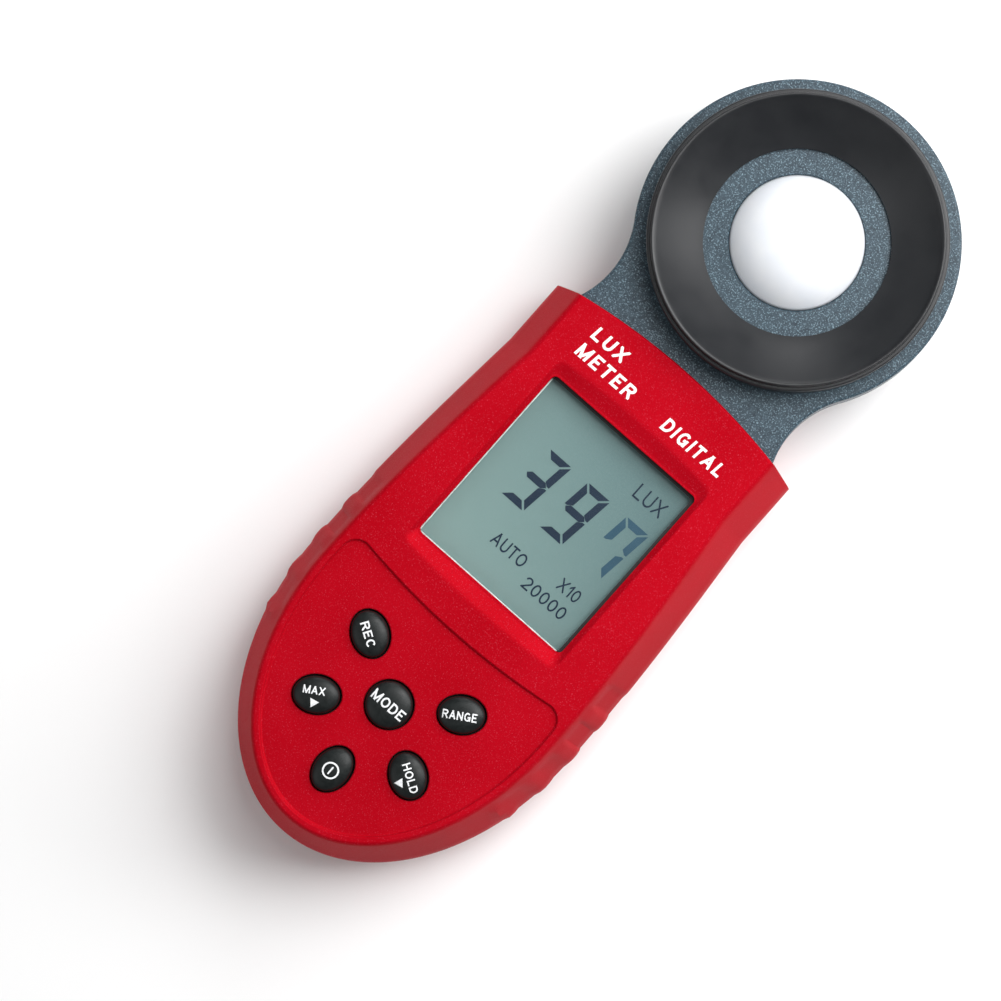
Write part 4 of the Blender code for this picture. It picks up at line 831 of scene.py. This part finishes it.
def lay_print(name, mesh, x, y, turn, surface, body, material, slot, fine=0.0):
    """Lays a flat mesh on a surface given as a height for each point, and thickens it."""
    mesh.transform(Matrix.Translation((x, y, 0)) @ Matrix.Rotation(turn, 4, "Z"))
    bm = bmesh.new()
    bm.from_mesh(mesh)
    bmesh.ops.remove_doubles(bm, verts=bm.verts, dist=0.006 * MM)
    bmesh.ops.dissolve_degenerate(bm, dist=0.002 * MM, edges=bm.edges)
    if fine:
        for axis in (0, 1):
            start = min(vertex.co[axis] for vertex in bm.verts)
            stop = max(vertex.co[axis] for vertex in bm.verts)
            normal = Vector((1 - axis, axis, 0))
            for i in range(1, math.ceil((stop - start) / fine)):
                bmesh.ops.bisect_plane(bm, geom=bm.verts[:] + bm.edges[:] + bm.faces[:], dist=0.002 * MM,
                                       plane_co=normal * (start + fine * i), plane_no=normal)
    for vertex in bm.verts:
        vertex.co.z = surface(vertex.co.x, vertex.co.y) + INK_THICKNESS * 0.3
    result = bmesh.ops.extrude_face_region(bm, geom=list(bm.faces))
    for item in result["geom"]:
        if isinstance(item, bmesh.types.BMVert):
            item.co.z += INK_THICKNESS
    obj = finish_mesh(bm, name)
    put(obj, body, material, slot)
    return obj


def mesh_of(curve):
    """A curve's mesh, in place of the curve."""
    holder = add_object("holder", curve)
    graph = bpy.context.evaluated_depsgraph_get()
    mesh = bpy.data.meshes.new_from_object(holder.evaluated_get(graph))
    bpy.data.objects.remove(holder, do_unlink=True)
    bpy.data.curves.remove(curve)
    return mesh


def flat_mesh(*outlines):
    """A flat mesh from outlines, the later ones cutting holes in the first."""
    curve = bpy.data.curves.new("outline", "CURVE")
    curve.dimensions = "2D"
    curve.fill_mode = "BOTH"
    for outline in outlines:
        spline = curve.splines.new("POLY")
        spline.points.add(len(outline) - 1)
        for target, (x, y) in zip(spline.points, outline):
            target.co = (x, y, 0, 1)
        spline.use_cyclic_u = True
    return mesh_of(curve)


def print_on_key(node, name, mesh, across, along, turn, fine):
    """Prints a flat mesh on a key, placed from the key's middle and following its crown."""
    centre = middle(node)
    lay_print(name, mesh, centre.x + across * MM, centre.y + along * MM, turn,
              lambda x, y: key_height(node, x - centre.x, y - centre.y),
              node + "_body", "ink", "key_rubber", fine * MM)


def print_on_case(name, mesh, x, y, z, material, slot):
    """Prints a flat mesh on a level face of the case, placed from the window's middle."""
    lay_print(name, mesh, x * MM, Y_WINDOW + y * MM, 0.0, lambda a, b: z, "case", material, slot)


def key_marks():
    """White words and signs on the keys."""
    words = (("key_record", "REC", 1.55, 4.5, -0.10, -0.25), ("key_range", "RANGE", 1.50, 6.0, -0.10, -0.25),
             ("key_mode", "MODE", 1.85, 6.7, 0.0, 0.0), ("key_max", "MAX", 1.40, 3.8, -0.73, 0.42),
             ("key_hold", "HOLD", 1.45, 5.2, 0.62, 0.05))
    for node, label, height, length, across, along in words:
        mesh = lettering(label, height * MM, length * MM, 0.17)
        print_on_key(node, node + "_label", mesh, across, along, key_place(node)[4] * 0.95, 0.45)
    half, tall = 0.84 * MM, 0.72 * MM
    for node, sign, across in (("key_max", -1, 0.60), ("key_hold", 1, -0.25)):
        mesh = flat_mesh([(-half, -sign * tall), (half, -sign * tall), (0, sign * tall)])
        print_on_key(node, node + "_arrow", mesh, across, -1.50, math.radians(12), 0.35)
    radius, line = 1.48 * MM, 0.15 * MM
    ring = flat_mesh(*(ellipse(0, 0, reach, reach, steps=48) for reach in (radius, radius - 2 * line)))
    bar = flat_mesh(rounded_rectangle(0, 0, 2 * line, radius * 1.05, line, 5))
    print_on_key("key_power", "power_ring", ring, 0.0, -0.25, 0.0, 0.35)
    print_on_key("key_power", "power_bar", bar, 0.0, -0.25, 0.0, 0.35)


def face_marks():
    """Plain words printed on the face above the window."""
    for name, label, x, y, height, length in (("title_upper", "LUX", -12.2, 27.55, 2.50, 6.9),
                                              ("title_lower", "METER", -9.8, 23.75, 2.55, 12.2),
                                              ("title_side", "DIGITAL", 9.9, 23.75, 2.50, 13.0)):
        mesh = lettering(label, height * MM, length * MM, 0.195, 0.13, 0.24)
        print_on_case(name, mesh, x, y, Z_FACE, "ink", "red_plastic")


# ---- Display

SEGMENTS = {"3": "abcdg", "9": "abcdfg", "7": "abcf"}


def segment_outline(which, width, height, bar):
    """One bar of a seven-segment digit, with mitred ends, before the slant."""
    half = height / 2
    gap = bar * 0.20
    if which in "adg":
        y = {"a": height - bar / 2, "g": half, "d": bar / 2}[which]
        reach = width / 2 - gap
        if which == "g":
            tip, edge = reach - bar * 0.1, reach - bar * 0.6
            shape = ((-tip, 0), (-edge, bar / 2), (edge, bar / 2), (tip, 0), (edge, -bar / 2),
                     (-edge, -bar / 2))
        else:
            out = bar / 2 if which == "a" else -bar / 2
            shape = ((-reach, out), (reach, out), (reach - bar, -out), (bar - reach, -out))
        return [(width / 2 + px, y + py) for px, py in shape]
    x_out = width if which in "bc" else 0.0
    inward = -1 if which in "bc" else 1
    upper = which in "bf"
    low_y = half if upper else 0.0
    high_y = height if upper else half
    outer_end = (high_y - gap) if upper else (low_y + gap)
    inner_end = (high_y - bar - gap) if upper else (low_y + bar + gap)
    middle_y = half + (gap if upper else -gap)
    shoulder = middle_y + (bar * 0.45 if upper else -bar * 0.45)
    return [(x_out, outer_end), (x_out, middle_y), (x_out + inward * bar * 0.35, middle_y),
            (x_out + inward * bar, shoulder), (x_out + inward * bar, inner_end)]


def make_lcd():
    """The display: panel, digits and small words as thin dark films just above it."""
    panel = box("lcd_panel_skin", LCD_LOW, LCD_HIGH)
    bevel = panel.modifiers.new("edge", "BEVEL")
    bevel.width = 0.15 * MM
    bevel.segments = 2
    put(panel, "case", "lcd", "lcd_glass", "lcd_panel")

    top = LCD_HIGH.z
    slant = 0.13
    width, height, bar = 5.10 * MM, 11.1 * MM, 1.30 * MM
    # The last digit takes the paler copy of the segment colour as painted glare.
    digits = (("3", -9.20, "segment"), ("9", -0.45, "segment"), ("7", 8.35, "segment_painted_glare"))
    for index, (digit, x, material) in enumerate(digits):
        outlines = []
        for which in SEGMENTS[digit]:
            outline = segment_outline(which, width, height, bar)
            outlines.append([(px + slant * (py - height / 2), py) for px, py in outline])
        print_on_case(f"lcd_digit_{index + 1}", flat_mesh(*outlines), x, -3.5, top, material, "lcd_glass")
    words = (("lcd_unit", "LUX", 2.85, 6.0, 10.3, 12.2, 0.12),
             ("lcd_auto", "AUTO", 2.40, 7.1, -2.2, -9.9, 0.14),
             ("lcd_factor", "X10", 2.30, 4.3, 10.1, -8.4, 0.13),
             ("lcd_range", "20000", 2.30, 9.1, 7.75, -12.2, 0.13))
    for name, label, tall, wide, x, y, weight in words:
        mesh = lettering(label, tall * MM, wide * MM, weight)
        print_on_case(name, mesh, x, y, top, "segment", "lcd_glass")


def make_lens():
    """The clear window in its gasket, with a painted shadow: a black strip that shows at the top and right
    sides.
    """
    width = LENS_HIGH.x - LENS_LOW.x
    height = LENS_HIGH.y - LENS_LOW.y
    bevel = 0.08 * MM
    full = rounded_rectangle(0, Y_WINDOW, width, height, WINDOW_CORNER)
    small = rounded_rectangle(0, Y_WINDOW, width - 2 * bevel, height - 2 * bevel, WINDOW_CORNER)
    lens = loft("window_lens_skin", [level(small, LENS_LOW.z), level(full, LENS_LOW.z + bevel),
                                     level(full, LENS_HIGH.z - bevel), level(small, LENS_HIGH.z)])
    polish(lens)
    put(lens, "case", "lens", "clear_window", "window_lens")
    # Painted shadow: the black strip is offset so that it shows only at the top and right, where the cover's
    # edge shades the display.
    outer = rounded_rectangle(0, 0, WINDOW_WIDTH + 0.8 * MM, WINDOW_HEIGHT + 0.8 * MM, WINDOW_CORNER)
    inner = rounded_rectangle(-0.38 * MM, -0.38 * MM, WINDOW_WIDTH - 0.40 * MM, WINDOW_HEIGHT - 0.40 * MM,
                              WINDOW_CORNER)
    print_on_case("window_painted_shadow", flat_mesh(outer, inner), 0, 0, LENS_HIGH.z, "gasket", "gasket_rubber")
    # Painted highlight: a pale strip at the left and below stands for the lit bevelled edge of the clear
    # window.
    half_x, half_y, line = WINDOW_WIDTH / 2, WINDOW_HEIGHT / 2, 0.20 * MM
    edge = [(-half_x, half_y), (-half_x, -half_y), (half_x, -half_y), (half_x, line - half_y),
            (line - half_x, line - half_y), (line - half_x, half_y)]
    print_on_case("window_painted_highlight", flat_mesh(edge), 0, 0, LENS_HIGH.z, "edge", "clear_window")


# ---- Head and sensor

def head_outline(inset=0.0, open_end=0.0):
    """The disc and its neck."""
    radius = HEAD_RADIUS - inset
    fillet = NECK_FILLET + inset
    centre_x = NECK_WAIST / 2 + NECK_FILLET
    centre_y = Y_HEAD - math.sqrt((HEAD_RADIUS + NECK_FILLET) ** 2 - centre_x ** 2)
    start = math.atan2(centre_y - Y_HEAD, centre_x)
    steps = ROUND // 2
    right = []
    for i in range(1, steps + 1):
        angle = math.pi / 2 + (start - math.pi / 2) * i / steps
        right.append((radius * math.cos(angle), Y_HEAD + radius * math.sin(angle)))
    tongue = TONGUE_WIDTH / 2 - inset
    stop = math.asin((centre_x - tongue) / fillet)
    for i in range(1, 31):
        angle = start + math.pi + (math.pi / 2 - stop - start) * i / 30
        right.append((centre_x + fillet * math.cos(angle), centre_y + fillet * math.sin(angle)))
    right.append((tongue, HEAD_LOW.y - open_end))
    return [(0.0, Y_HEAD + radius)] + right + [(-x, y) for x, y in reversed(right)]


def rounded_levels(low, high, low_round, high_round, steps=5):
    """(height, inset) pairs for a wall with a rounded lower and upper edge."""
    turn = quarter_turn(steps)
    pairs = [(low + low_round * (1 - cosine), low_round * (1 - sine)) for sine, cosine in turn]
    return pairs + [(high - high_round * (1 - sine), high_round * (1 - cosine)) for sine, cosine in turn]


def make_head():
    parting = HEAD_LOW.z
    hollow = head_outline(HEAD_WALL, 5 * MM)
    ceiling = Z_NECK_TOP - HEAD_WALL
    wall = rounded_levels(parting, Z_NECK_TOP, 0.10 * MM, 0.55 * MM)
    plate = loft("head_plate_skin", [level(head_outline(inset), z) for z, inset in wall])
    boolean(plate, loft("hollow", [level(hollow, parting - WALL), level(hollow, ceiling)]))
    radius = (DOME_HIGH.x - DOME_LOW.x) / 2 - DOME_FLANGE
    straight, soft, wide = radius + 0.06 * MM, radius + 0.12 * MM, radius + 0.30 * MM
    hole = [(0, ceiling - WALL), (straight, ceiling - WALL), (straight, Z_NECK_TOP - 0.30 * MM),
            (soft, Z_NECK_TOP - 0.12 * MM), (wide, Z_NECK_TOP + 0.01 * MM), (wide, Z_NECK_TOP + WALL),
            (0, Z_NECK_TOP + WALL)]
    boolean(plate, turned("hole", hole, 0, Y_HEAD))
    weld(plate)
    polish(plate)
    put(plate, "case", "grey", "grey_plastic", "head_front_plate")

    low, high = SHELL_LOW.z, SHELL_HIGH.z
    wall = rounded_levels(low, high, 1.8 * MM, 0.10 * MM, 7)
    shell = loft("head_shell_skin", [level(head_outline(inset), z) for z, inset in wall])
    boolean(shell, loft("hollow", [level(hollow, low + HEAD_WALL), level(hollow, high + WALL)]))
    for number in (1, 2, 3):
        boolean(shell, screw_well(f"head_screw_{number}", SHELL_LOW.z))
    weld(shell)
    polish(shell)
    put(shell, "case", "grey", "grey_plastic", "head_rear_shell")


def screw_well(node, low):
    """A tool that sinks a screw's hole, with a soft rim, into an underside."""
    screw_low, screw_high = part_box(node)
    radius = (screw_high.x - screw_low.x) / 2 + SCREW_CLEARANCE
    rim = radius + 0.35 * MM
    profile = [(0, low + 8 * MM), (radius, low + 8 * MM), (radius, low + 0.35 * MM),
               (radius + 0.10 * MM, low + 0.12 * MM), (rim, low - 0.01 * MM), (rim, low - 1 * MM),
               (0, low - 1 * MM)]
    return turned("well", profile, middle(node).x, middle(node).y, 48)


def make_bezel():
    """The black ring: stepped lip, soft rim and a conical inside."""
    low, high = BEZEL_LOW.z, BEZEL_HIGH.z
    outer = (BEZEL_HIGH.x - BEZEL_LOW.x) / 2
    rim = outer - 0.72 * MM
    crest = 0.24 * MM
    ledge = high - 1.10 * MM
    lip = 0.30 * MM
    throat = 16.0 * MM
    profile = []
    for sine, cosine in quarter_turn(6):
        profile.append((rim - crest + crest * sine, high - crest + crest * cosine))
    profile += [(rim + 0.02 * MM, ledge + 0.12 * MM), (rim + 0.08 * MM, ledge), (outer - lip, ledge)]
    for sine, cosine in quarter_turn(5, 1):
        profile.append((outer - lip + lip * sine, ledge - lip + lip * cosine))
    profile += [(outer, low + 0.12 * MM), (outer - 0.12 * MM, low), (throat + 0.10 * MM, low),
                (throat, low + 0.10 * MM), (throat, low + 0.45 * MM)]
    steps = 16
    cone_low, cone_high = low + 0.45 * MM, high - 0.10 * MM
    for i in range(1, steps + 1):
        share = i / steps
        bulge = 0.35 * MM * math.sin(math.pi * share)
        profile.append((throat + (rim - 0.62 * MM - throat) * share + bulge,
                        cone_low + (cone_high - cone_low) * share))
    profile.append((rim - 0.42 * MM, high - 0.01 * MM))
    bezel = turned("sensor_bezel_skin", profile, 0, Y_HEAD, 2 * ROUND)
    polish(bezel, 40)
    put(bezel, "case", "black", "black_plastic", "sensor_bezel")


def make_dome():
    """The white diffuser: flange inside, low dome outside."""
    flange = (DOME_HIGH.x - DOME_LOW.x) / 2
    radius = flange - DOME_FLANGE
    top = DOME_HIGH.z
    rise = top - Z_NECK_TOP
    sphere = (radius ** 2 + rise ** 2) / (2 * rise)
    centre = top - sphere
    skin = sphere - DOME_WALL
    inner = radius - DOME_WALL
    flange_top = DOME_LOW.z + 1.2 * MM
    profile = []
    for i in range(27):
        tilt = math.asin(radius / sphere) * i / 26
        profile.append((sphere * math.sin(tilt), centre + sphere * math.cos(tilt)))
    profile += [(radius, flange_top), (flange, flange_top), (flange, DOME_LOW.z), (inner, DOME_LOW.z)]
    for i in range(17):
        tilt = math.asin(inner / skin) * (1 - i / 16)
        profile.append((skin * math.sin(tilt), centre + skin * math.cos(tilt)))
    dome = turned("diffuser_dome_skin", profile, 0, Y_HEAD)
    polish(dome, 45)
    put(dome, "case", "white", "white_diffuser", "diffuser_dome")


# ---- Back: rear cover and battery door

def rear_body(name):
    """The outside of the rear cover with grip ribs that fade towards the back."""
    top = Z_PARTING - PARTING_GAP / 2
    rings = []
    steps = 22
    for i in range(steps + 1):
        z = (top - 0.12 * MM) * (i / steps) ** 1.7
        rise = z / top
        share = 0.6 * smooth((rise - 0.25) / 0.5)
        rings.append(level(body_outline(0, back_inset(z), grip_share=share), z))
    rings.append(level(body_outline(0, 0.12 * MM, grip_share=0.55), top))
    return loft(name, rings)


def make_rear_cover():
    cover = rear_body("rear_cover_skin")
    top = Z_PARTING - PARTING_GAP / 2
    inner = [level(body_outline(0, WALL + back_inset(z)), z) for z in (WALL, 2 * WALL, top / 2)]
    inner.append(level(body_outline(0, WALL), top + WALL))
    boolean(cover, loft("hollow", inner))
    make_chamber(cover)
    door_top = DOOR_HIGH.y + GAP
    half = DOOR_HIGH.x - DOOR_TONGUE + GAP
    boolean(cover, box("door_opening", (-half, Y_END * 1.2, -WALL), (half, door_top, WALL + GAP)))
    half = DOOR_HIGH.x + GAP
    boolean(cover, box("door_groove", (-half, Y_END * 1.2, 0.4 * MM), (half, door_top, 1.6 * MM)))
    for number in range(1, 5):
        boolean(cover, screw_well(f"case_screw_{number}", 0.0))
    weld(cover)
    polish(cover)
    put(cover, "case", "red", "red_plastic", "rear_cover")


def make_chamber(cover):
    """The battery chamber moulded into the rear cover, and the floor beyond it."""
    wall = 1.3 * MM
    half = DOOR_HIGH.x - DOOR_TONGUE + GAP
    end = DOOR_HIGH.y + GAP - DOOR_TONGUE
    start = min(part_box("contact_plus_2")[0].y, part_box("contact_minus_1")[0].y) - GAP
    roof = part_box("battery_cell_1")[1].z + GAP
    block = box("block", (-half - wall, start - wall, WALL / 2), (half + wall, end + wall, roof + wall))
    boolean(cover, block, "UNION")
    inset = back_inset(WALL + GAP) + WALL * 0.7
    outline = [(x, y) for x, y in body_outline(0, inset) if y < start]
    floor = loft("floor", [level(outline, WALL / 2), level(outline, WALL + GAP + wall)])
    boolean(cover, floor, "UNION")
    boolean(cover, box("chamber", (-half, start, -WALL), (half, end, roof)))


def make_door():
    """The sliding door: tongues along its sides, a thumb rest with ribs and a plain arrow."""
    top = DOOR_HIGH.y
    half = DOOR_HIGH.x - DOOR_TONGUE
    door = box("battery_door_skin", (-half, Y_END * 1.2, -WALL), (half, top, WALL))
    tongues = box("tongues", (-DOOR_HIGH.x, Y_END * 1.2, 0.7 * MM), (DOOR_HIGH.x, top, 1.3 * MM))
    boolean(door, tongues, "UNION")
    boolean(door, rear_body("shape"), "INTERSECT")
    centre = top - 11.0 * MM
    outline = growing_rectangle(0, centre, 19 * MM, 11 * MM, 3 * MM)
    sections = ((-1.0, 0.5), (0.0, 0.5), (0.10, 0.2), (0.45, -0.3), (0.55, -0.8))
    boolean(door, stacked("thumb_rest", outline, sections, 0.0))
    sections = ((0.05, -0.28), (0.12, -0.14), (0.30, 0.0), (0.75, 0.04))
    for i in range(5):
        y = centre + (3.0 - 1.5 * i) * MM
        outline = growing_rectangle(0, y, (15.0 - abs(i - 2)) * MM, 0.75 * MM, 0.30 * MM, 0.5, 4)
        boolean(door, stacked("ridge", outline, sections, 0.0), "UNION")
    arrow_y = centre - 9.5 * MM
    arrow = [(-2.6 * MM, arrow_y + 1.4 * MM), (2.6 * MM, arrow_y + 1.4 * MM), (0.0, arrow_y - 1.8 * MM)]
    boolean(door, loft("arrow", [level(arrow, -1 * MM), level(arrow, 0.25 * MM)]))
    weld(door)
    polish(door)
    put(door, "battery_door_body", "red", "red_plastic", "battery_door")


# ---- Batteries, springs and screws

def lay_along(obj, centre_x, start_y, centre_z, direction):
    """Turns an upright piece to lie along Y, its top towards direction."""
    turn = Matrix.Rotation(-direction * math.pi / 2, 4, "X")
    obj.data.transform(Matrix.Translation((centre_x, start_y, centre_z)) @ turn)


def make_cell(number):
    """A battery: printed jacket with rolled edges, steel cap with its nub, steel base."""
    node = f"battery_cell_{number}"
    low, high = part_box(node)
    direction = 1 if number % 2 else -1
    start = low.y if direction > 0 else high.y
    centre = (low + high) / 2
    length = (high.y - low.y) / MM
    radius = (high.x - low.x) / 2 / MM
    can = length - 1.0
    lip, cap = radius - 0.7, radius - 0.75
    jacket = [(lip, can - 0.05), (radius - 0.35, can), (radius - 0.1, can - 0.1), (radius, can - 0.35),
              (radius, 0.35), (radius - 0.1, 0.1), (radius - 0.35, 0.0), (lip, 0.05), (lip, 0.3),
              (radius - 0.45, 0.5), (radius - 0.45, can - 0.5), (lip, can - 0.3)]
    nub = [(0, length), (1.7, length), (1.9, length - 0.2), (1.9, can + 0.1), (2.2, can - 0.12),
           (cap, can - 0.12), (cap, can - 0.6), (0, can - 0.6)]
    base = [(0, 0.6), (cap, 0.6), (cap, 0.15), (radius - 1.2, 0.15), (radius - 1.5, 0.0), (0, 0.0)]
    foil = "cell_up" if direction > 0 else "cell_down"
    for suffix, material, slot, profile in (("_jacket", foil, "cell_jacket", jacket),
                                            ("_cap", "steel", "steel", nub),
                                            ("_base", "steel", "steel", base)):
        piece = turned(node + suffix, [(out * MM, up * MM) for out, up in profile], steps=72)
        lay_along(piece, centre.x, start, centre.z, direction)
        polish(piece)
        put(piece, "case", material, slot, node)


def make_spring(number):
    """A conical battery spring of round wire, wide at its contact."""
    node = f"battery_spring_{number}"
    low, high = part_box(node)
    cell_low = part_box(f"battery_cell_{number}")[0]
    direction = 1 if cell_low.y > low.y else -1
    wire = 0.7 * MM
    start = (low.y if direction > 0 else high.y) + direction * wire / 2
    length = (high.y - low.y) - wire
    centre = middle(f"battery_cell_{number}")
    curve = bpy.data.curves.new(node, "CURVE")
    curve.dimensions = "3D"
    curve.bevel_depth = wire / 2
    curve.bevel_resolution = 5
    curve.use_fill_caps = True
    turns, steps = 3, 144
    spline = curve.splines.new("POLY")
    spline.points.add(steps)
    for i, point in enumerate(spline.points):
        share = i / steps
        angle = math.tau * turns * share
        coil = 8.4 * MM * (0.40 - 0.16 * share)
        point.co = (centre.x + coil * math.cos(angle), start + direction * length * share,
                    centre.z + coil * math.sin(angle), 1)
    bm = bmesh.new()
    bm.from_mesh(mesh_of(curve))
    bmesh.ops.remove_doubles(bm, verts=bm.verts, dist=0.000001)
    spring = finish_mesh(bm, node + "_wire")
    polish(spring, 60)
    put(spring, "case", "steel", "steel", node)


def make_screw(node):
    """A pan-head screw seen from below, with a soft head and a deep cross."""
    low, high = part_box(node)
    x, y = (low.x + high.x) / 2, (low.y + high.y) / 2
    head = (high.x - low.x) / 2
    tall = 1.4 * MM if node.startswith("case") else 1.1 * MM
    shank = 1.0 * MM if node.startswith("case") else 0.8 * MM
    seat = low.z + tall
    profile = [(0, high.z), (shank * 0.3, high.z - shank * 0.8), (shank, high.z - shank * 1.8), (shank, seat),
               (head, seat)]
    for sine, cosine in quarter_turn(8):
        profile.append((head * (0.62 + 0.38 * cosine), seat - tall * (0.30 + 0.70 * sine)))
    profile.append((0, low.z))
    screw = turned(node + "_fine", profile, x, y, 48)
    arm, half, deep = head * 0.58, 0.26 * MM, tall * 0.62
    for across, along in ((arm, half), (half, arm)):
        rings = []
        for rise, share in ((-1.0 * MM, 1.0), (0.0, 1.0), (deep, 0.45)):
            narrow = 0.6 + 0.4 * share
            reach_x = across * (share if across > along else narrow)
            reach_y = along * (share if along > across else narrow)
            corners = [(x + side * reach_x, y + end * reach_y)
                       for side, end in ((-1, -1), (1, -1), (1, 1), (-1, 1))]
            rings.append(level(corners, low.z + rise))
        boolean(screw, loft("cross", rings))
    weld(screw)
    polish(screw, 38)
    put(screw, "case", "steel", "steel", node)


# ---- Pieces that keep their CAD shape

def dress_inside():
    finishes = {"steel": ("contact_", "crystal", "board_screw", "sensor_board_screw"),
                "board": ("main_board", "sensor_board"), "chip": ("processor_chip", "photodiode"),
                "silicone": ("keypad_mat", "zebra_strip", "calibration_trimmer"),
                "filter": ("photopic_filter",), "gasket": ("window_gasket",),
                "black": ("filter_holder", "lcd_bracket", "filter_capacitor"),
                "wire_red": ("battery_lead_red",), "wire_black": ("battery_lead_black", "sensor_lead")}
    for node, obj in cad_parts.items():
        for finish, starts in finishes.items():
            if node.startswith(starts):
                obj.data.materials.clear()
                obj.data.materials.append(MATERIALS[finish])


# ---- Stage: floor, light and camera

def make_stage():
    bm = bmesh.new()
    bmesh.ops.create_grid(bm, x_segments=1, y_segments=1, size=3.0)
    floor = finish_mesh(bm, "floor")
    floor.location.z = -0.00002
    shader = Shader("floor_paper", (0.90, 0.90, 0.90), 0.80)
    shader.set("Specular IOR Level", 0.2)
    floor.data.materials.append(shader.material)

    bpy.context.scene.view_settings.view_transform = "Standard"
    world = bpy.data.worlds.new("studio")
    bpy.context.scene.world = world
    world.use_nodes = True
    world.node_tree.nodes["Background"].inputs["Color"].default_value = (1.0, 1.0, 1.0, 1.0)
    world.node_tree.nodes["Background"].inputs["Strength"].default_value = 0.28

    lights = (("key_light", (0.10, 0.25, 0.34), 0.36, 1.75), ("top_light", (0.06, 0.34, 0.78), 0.50, 2.7),
              ("side_light", (0.38, 0.38, 0.25), 0.25, 0.8), ("back_light", (-0.33, 0.48, 0.25), 0.25, 0.7),
              ("fill_light", (-0.35, -0.55, 0.60), 0.60, 0.9))
    for name, place, size, power in lights:
        data = bpy.data.lights.new(name, "AREA")
        data.shape = "DISK"
        data.size = size
        data.energy = power
        light = add_object(name, data)
        light.location = place
        light.rotation_euler = (Vector((0, 0, 0.02)) - Vector(place)).to_track_quat("-Z", "Y").to_euler()


CAMERA_PLACE = Vector((26.4 * MM, -5.2 * MM, 776.0 * MM))
CAMERA_AIM = Vector((-8.75 * MM, -13.1 * MM, 26.0 * MM))
CAMERA_ROLL = math.radians(41.47)
CAMERA_LENS = 158.9


def make_camera():
    data = bpy.data.cameras.new("camera")
    data.sensor_width = 36.0
    data.lens = CAMERA_LENS
    camera = add_object("camera", data)
    back = (CAMERA_PLACE - CAMERA_AIM).normalized()
    up = Vector((-math.sin(CAMERA_ROLL), math.cos(CAMERA_ROLL), 0))
    right = up.cross(back).normalized()
    up = back.cross(right)
    camera.matrix_world = Matrix.Translation(CAMERA_PLACE) @ Matrix((right, up, back)).transposed().to_4x4()
    bpy.context.scene.camera = camera


make_camera()
make_stage()
dress_inside()
make_front_cover()
make_rear_cover()
make_door()
for key_node in KEY_SIZES:
    make_key(key_node)
key_marks()
face_marks()
make_lcd()
make_lens()
make_head()
make_bezel()
make_dome()
for cell_number in (1, 2, 3):
    make_cell(cell_number)
    make_spring(cell_number)
for screw_node in [f"case_screw_{i}" for i in range(1, 5)] + [f"head_screw_{i}" for i in range(1, 4)]:
    make_screw(screw_node)
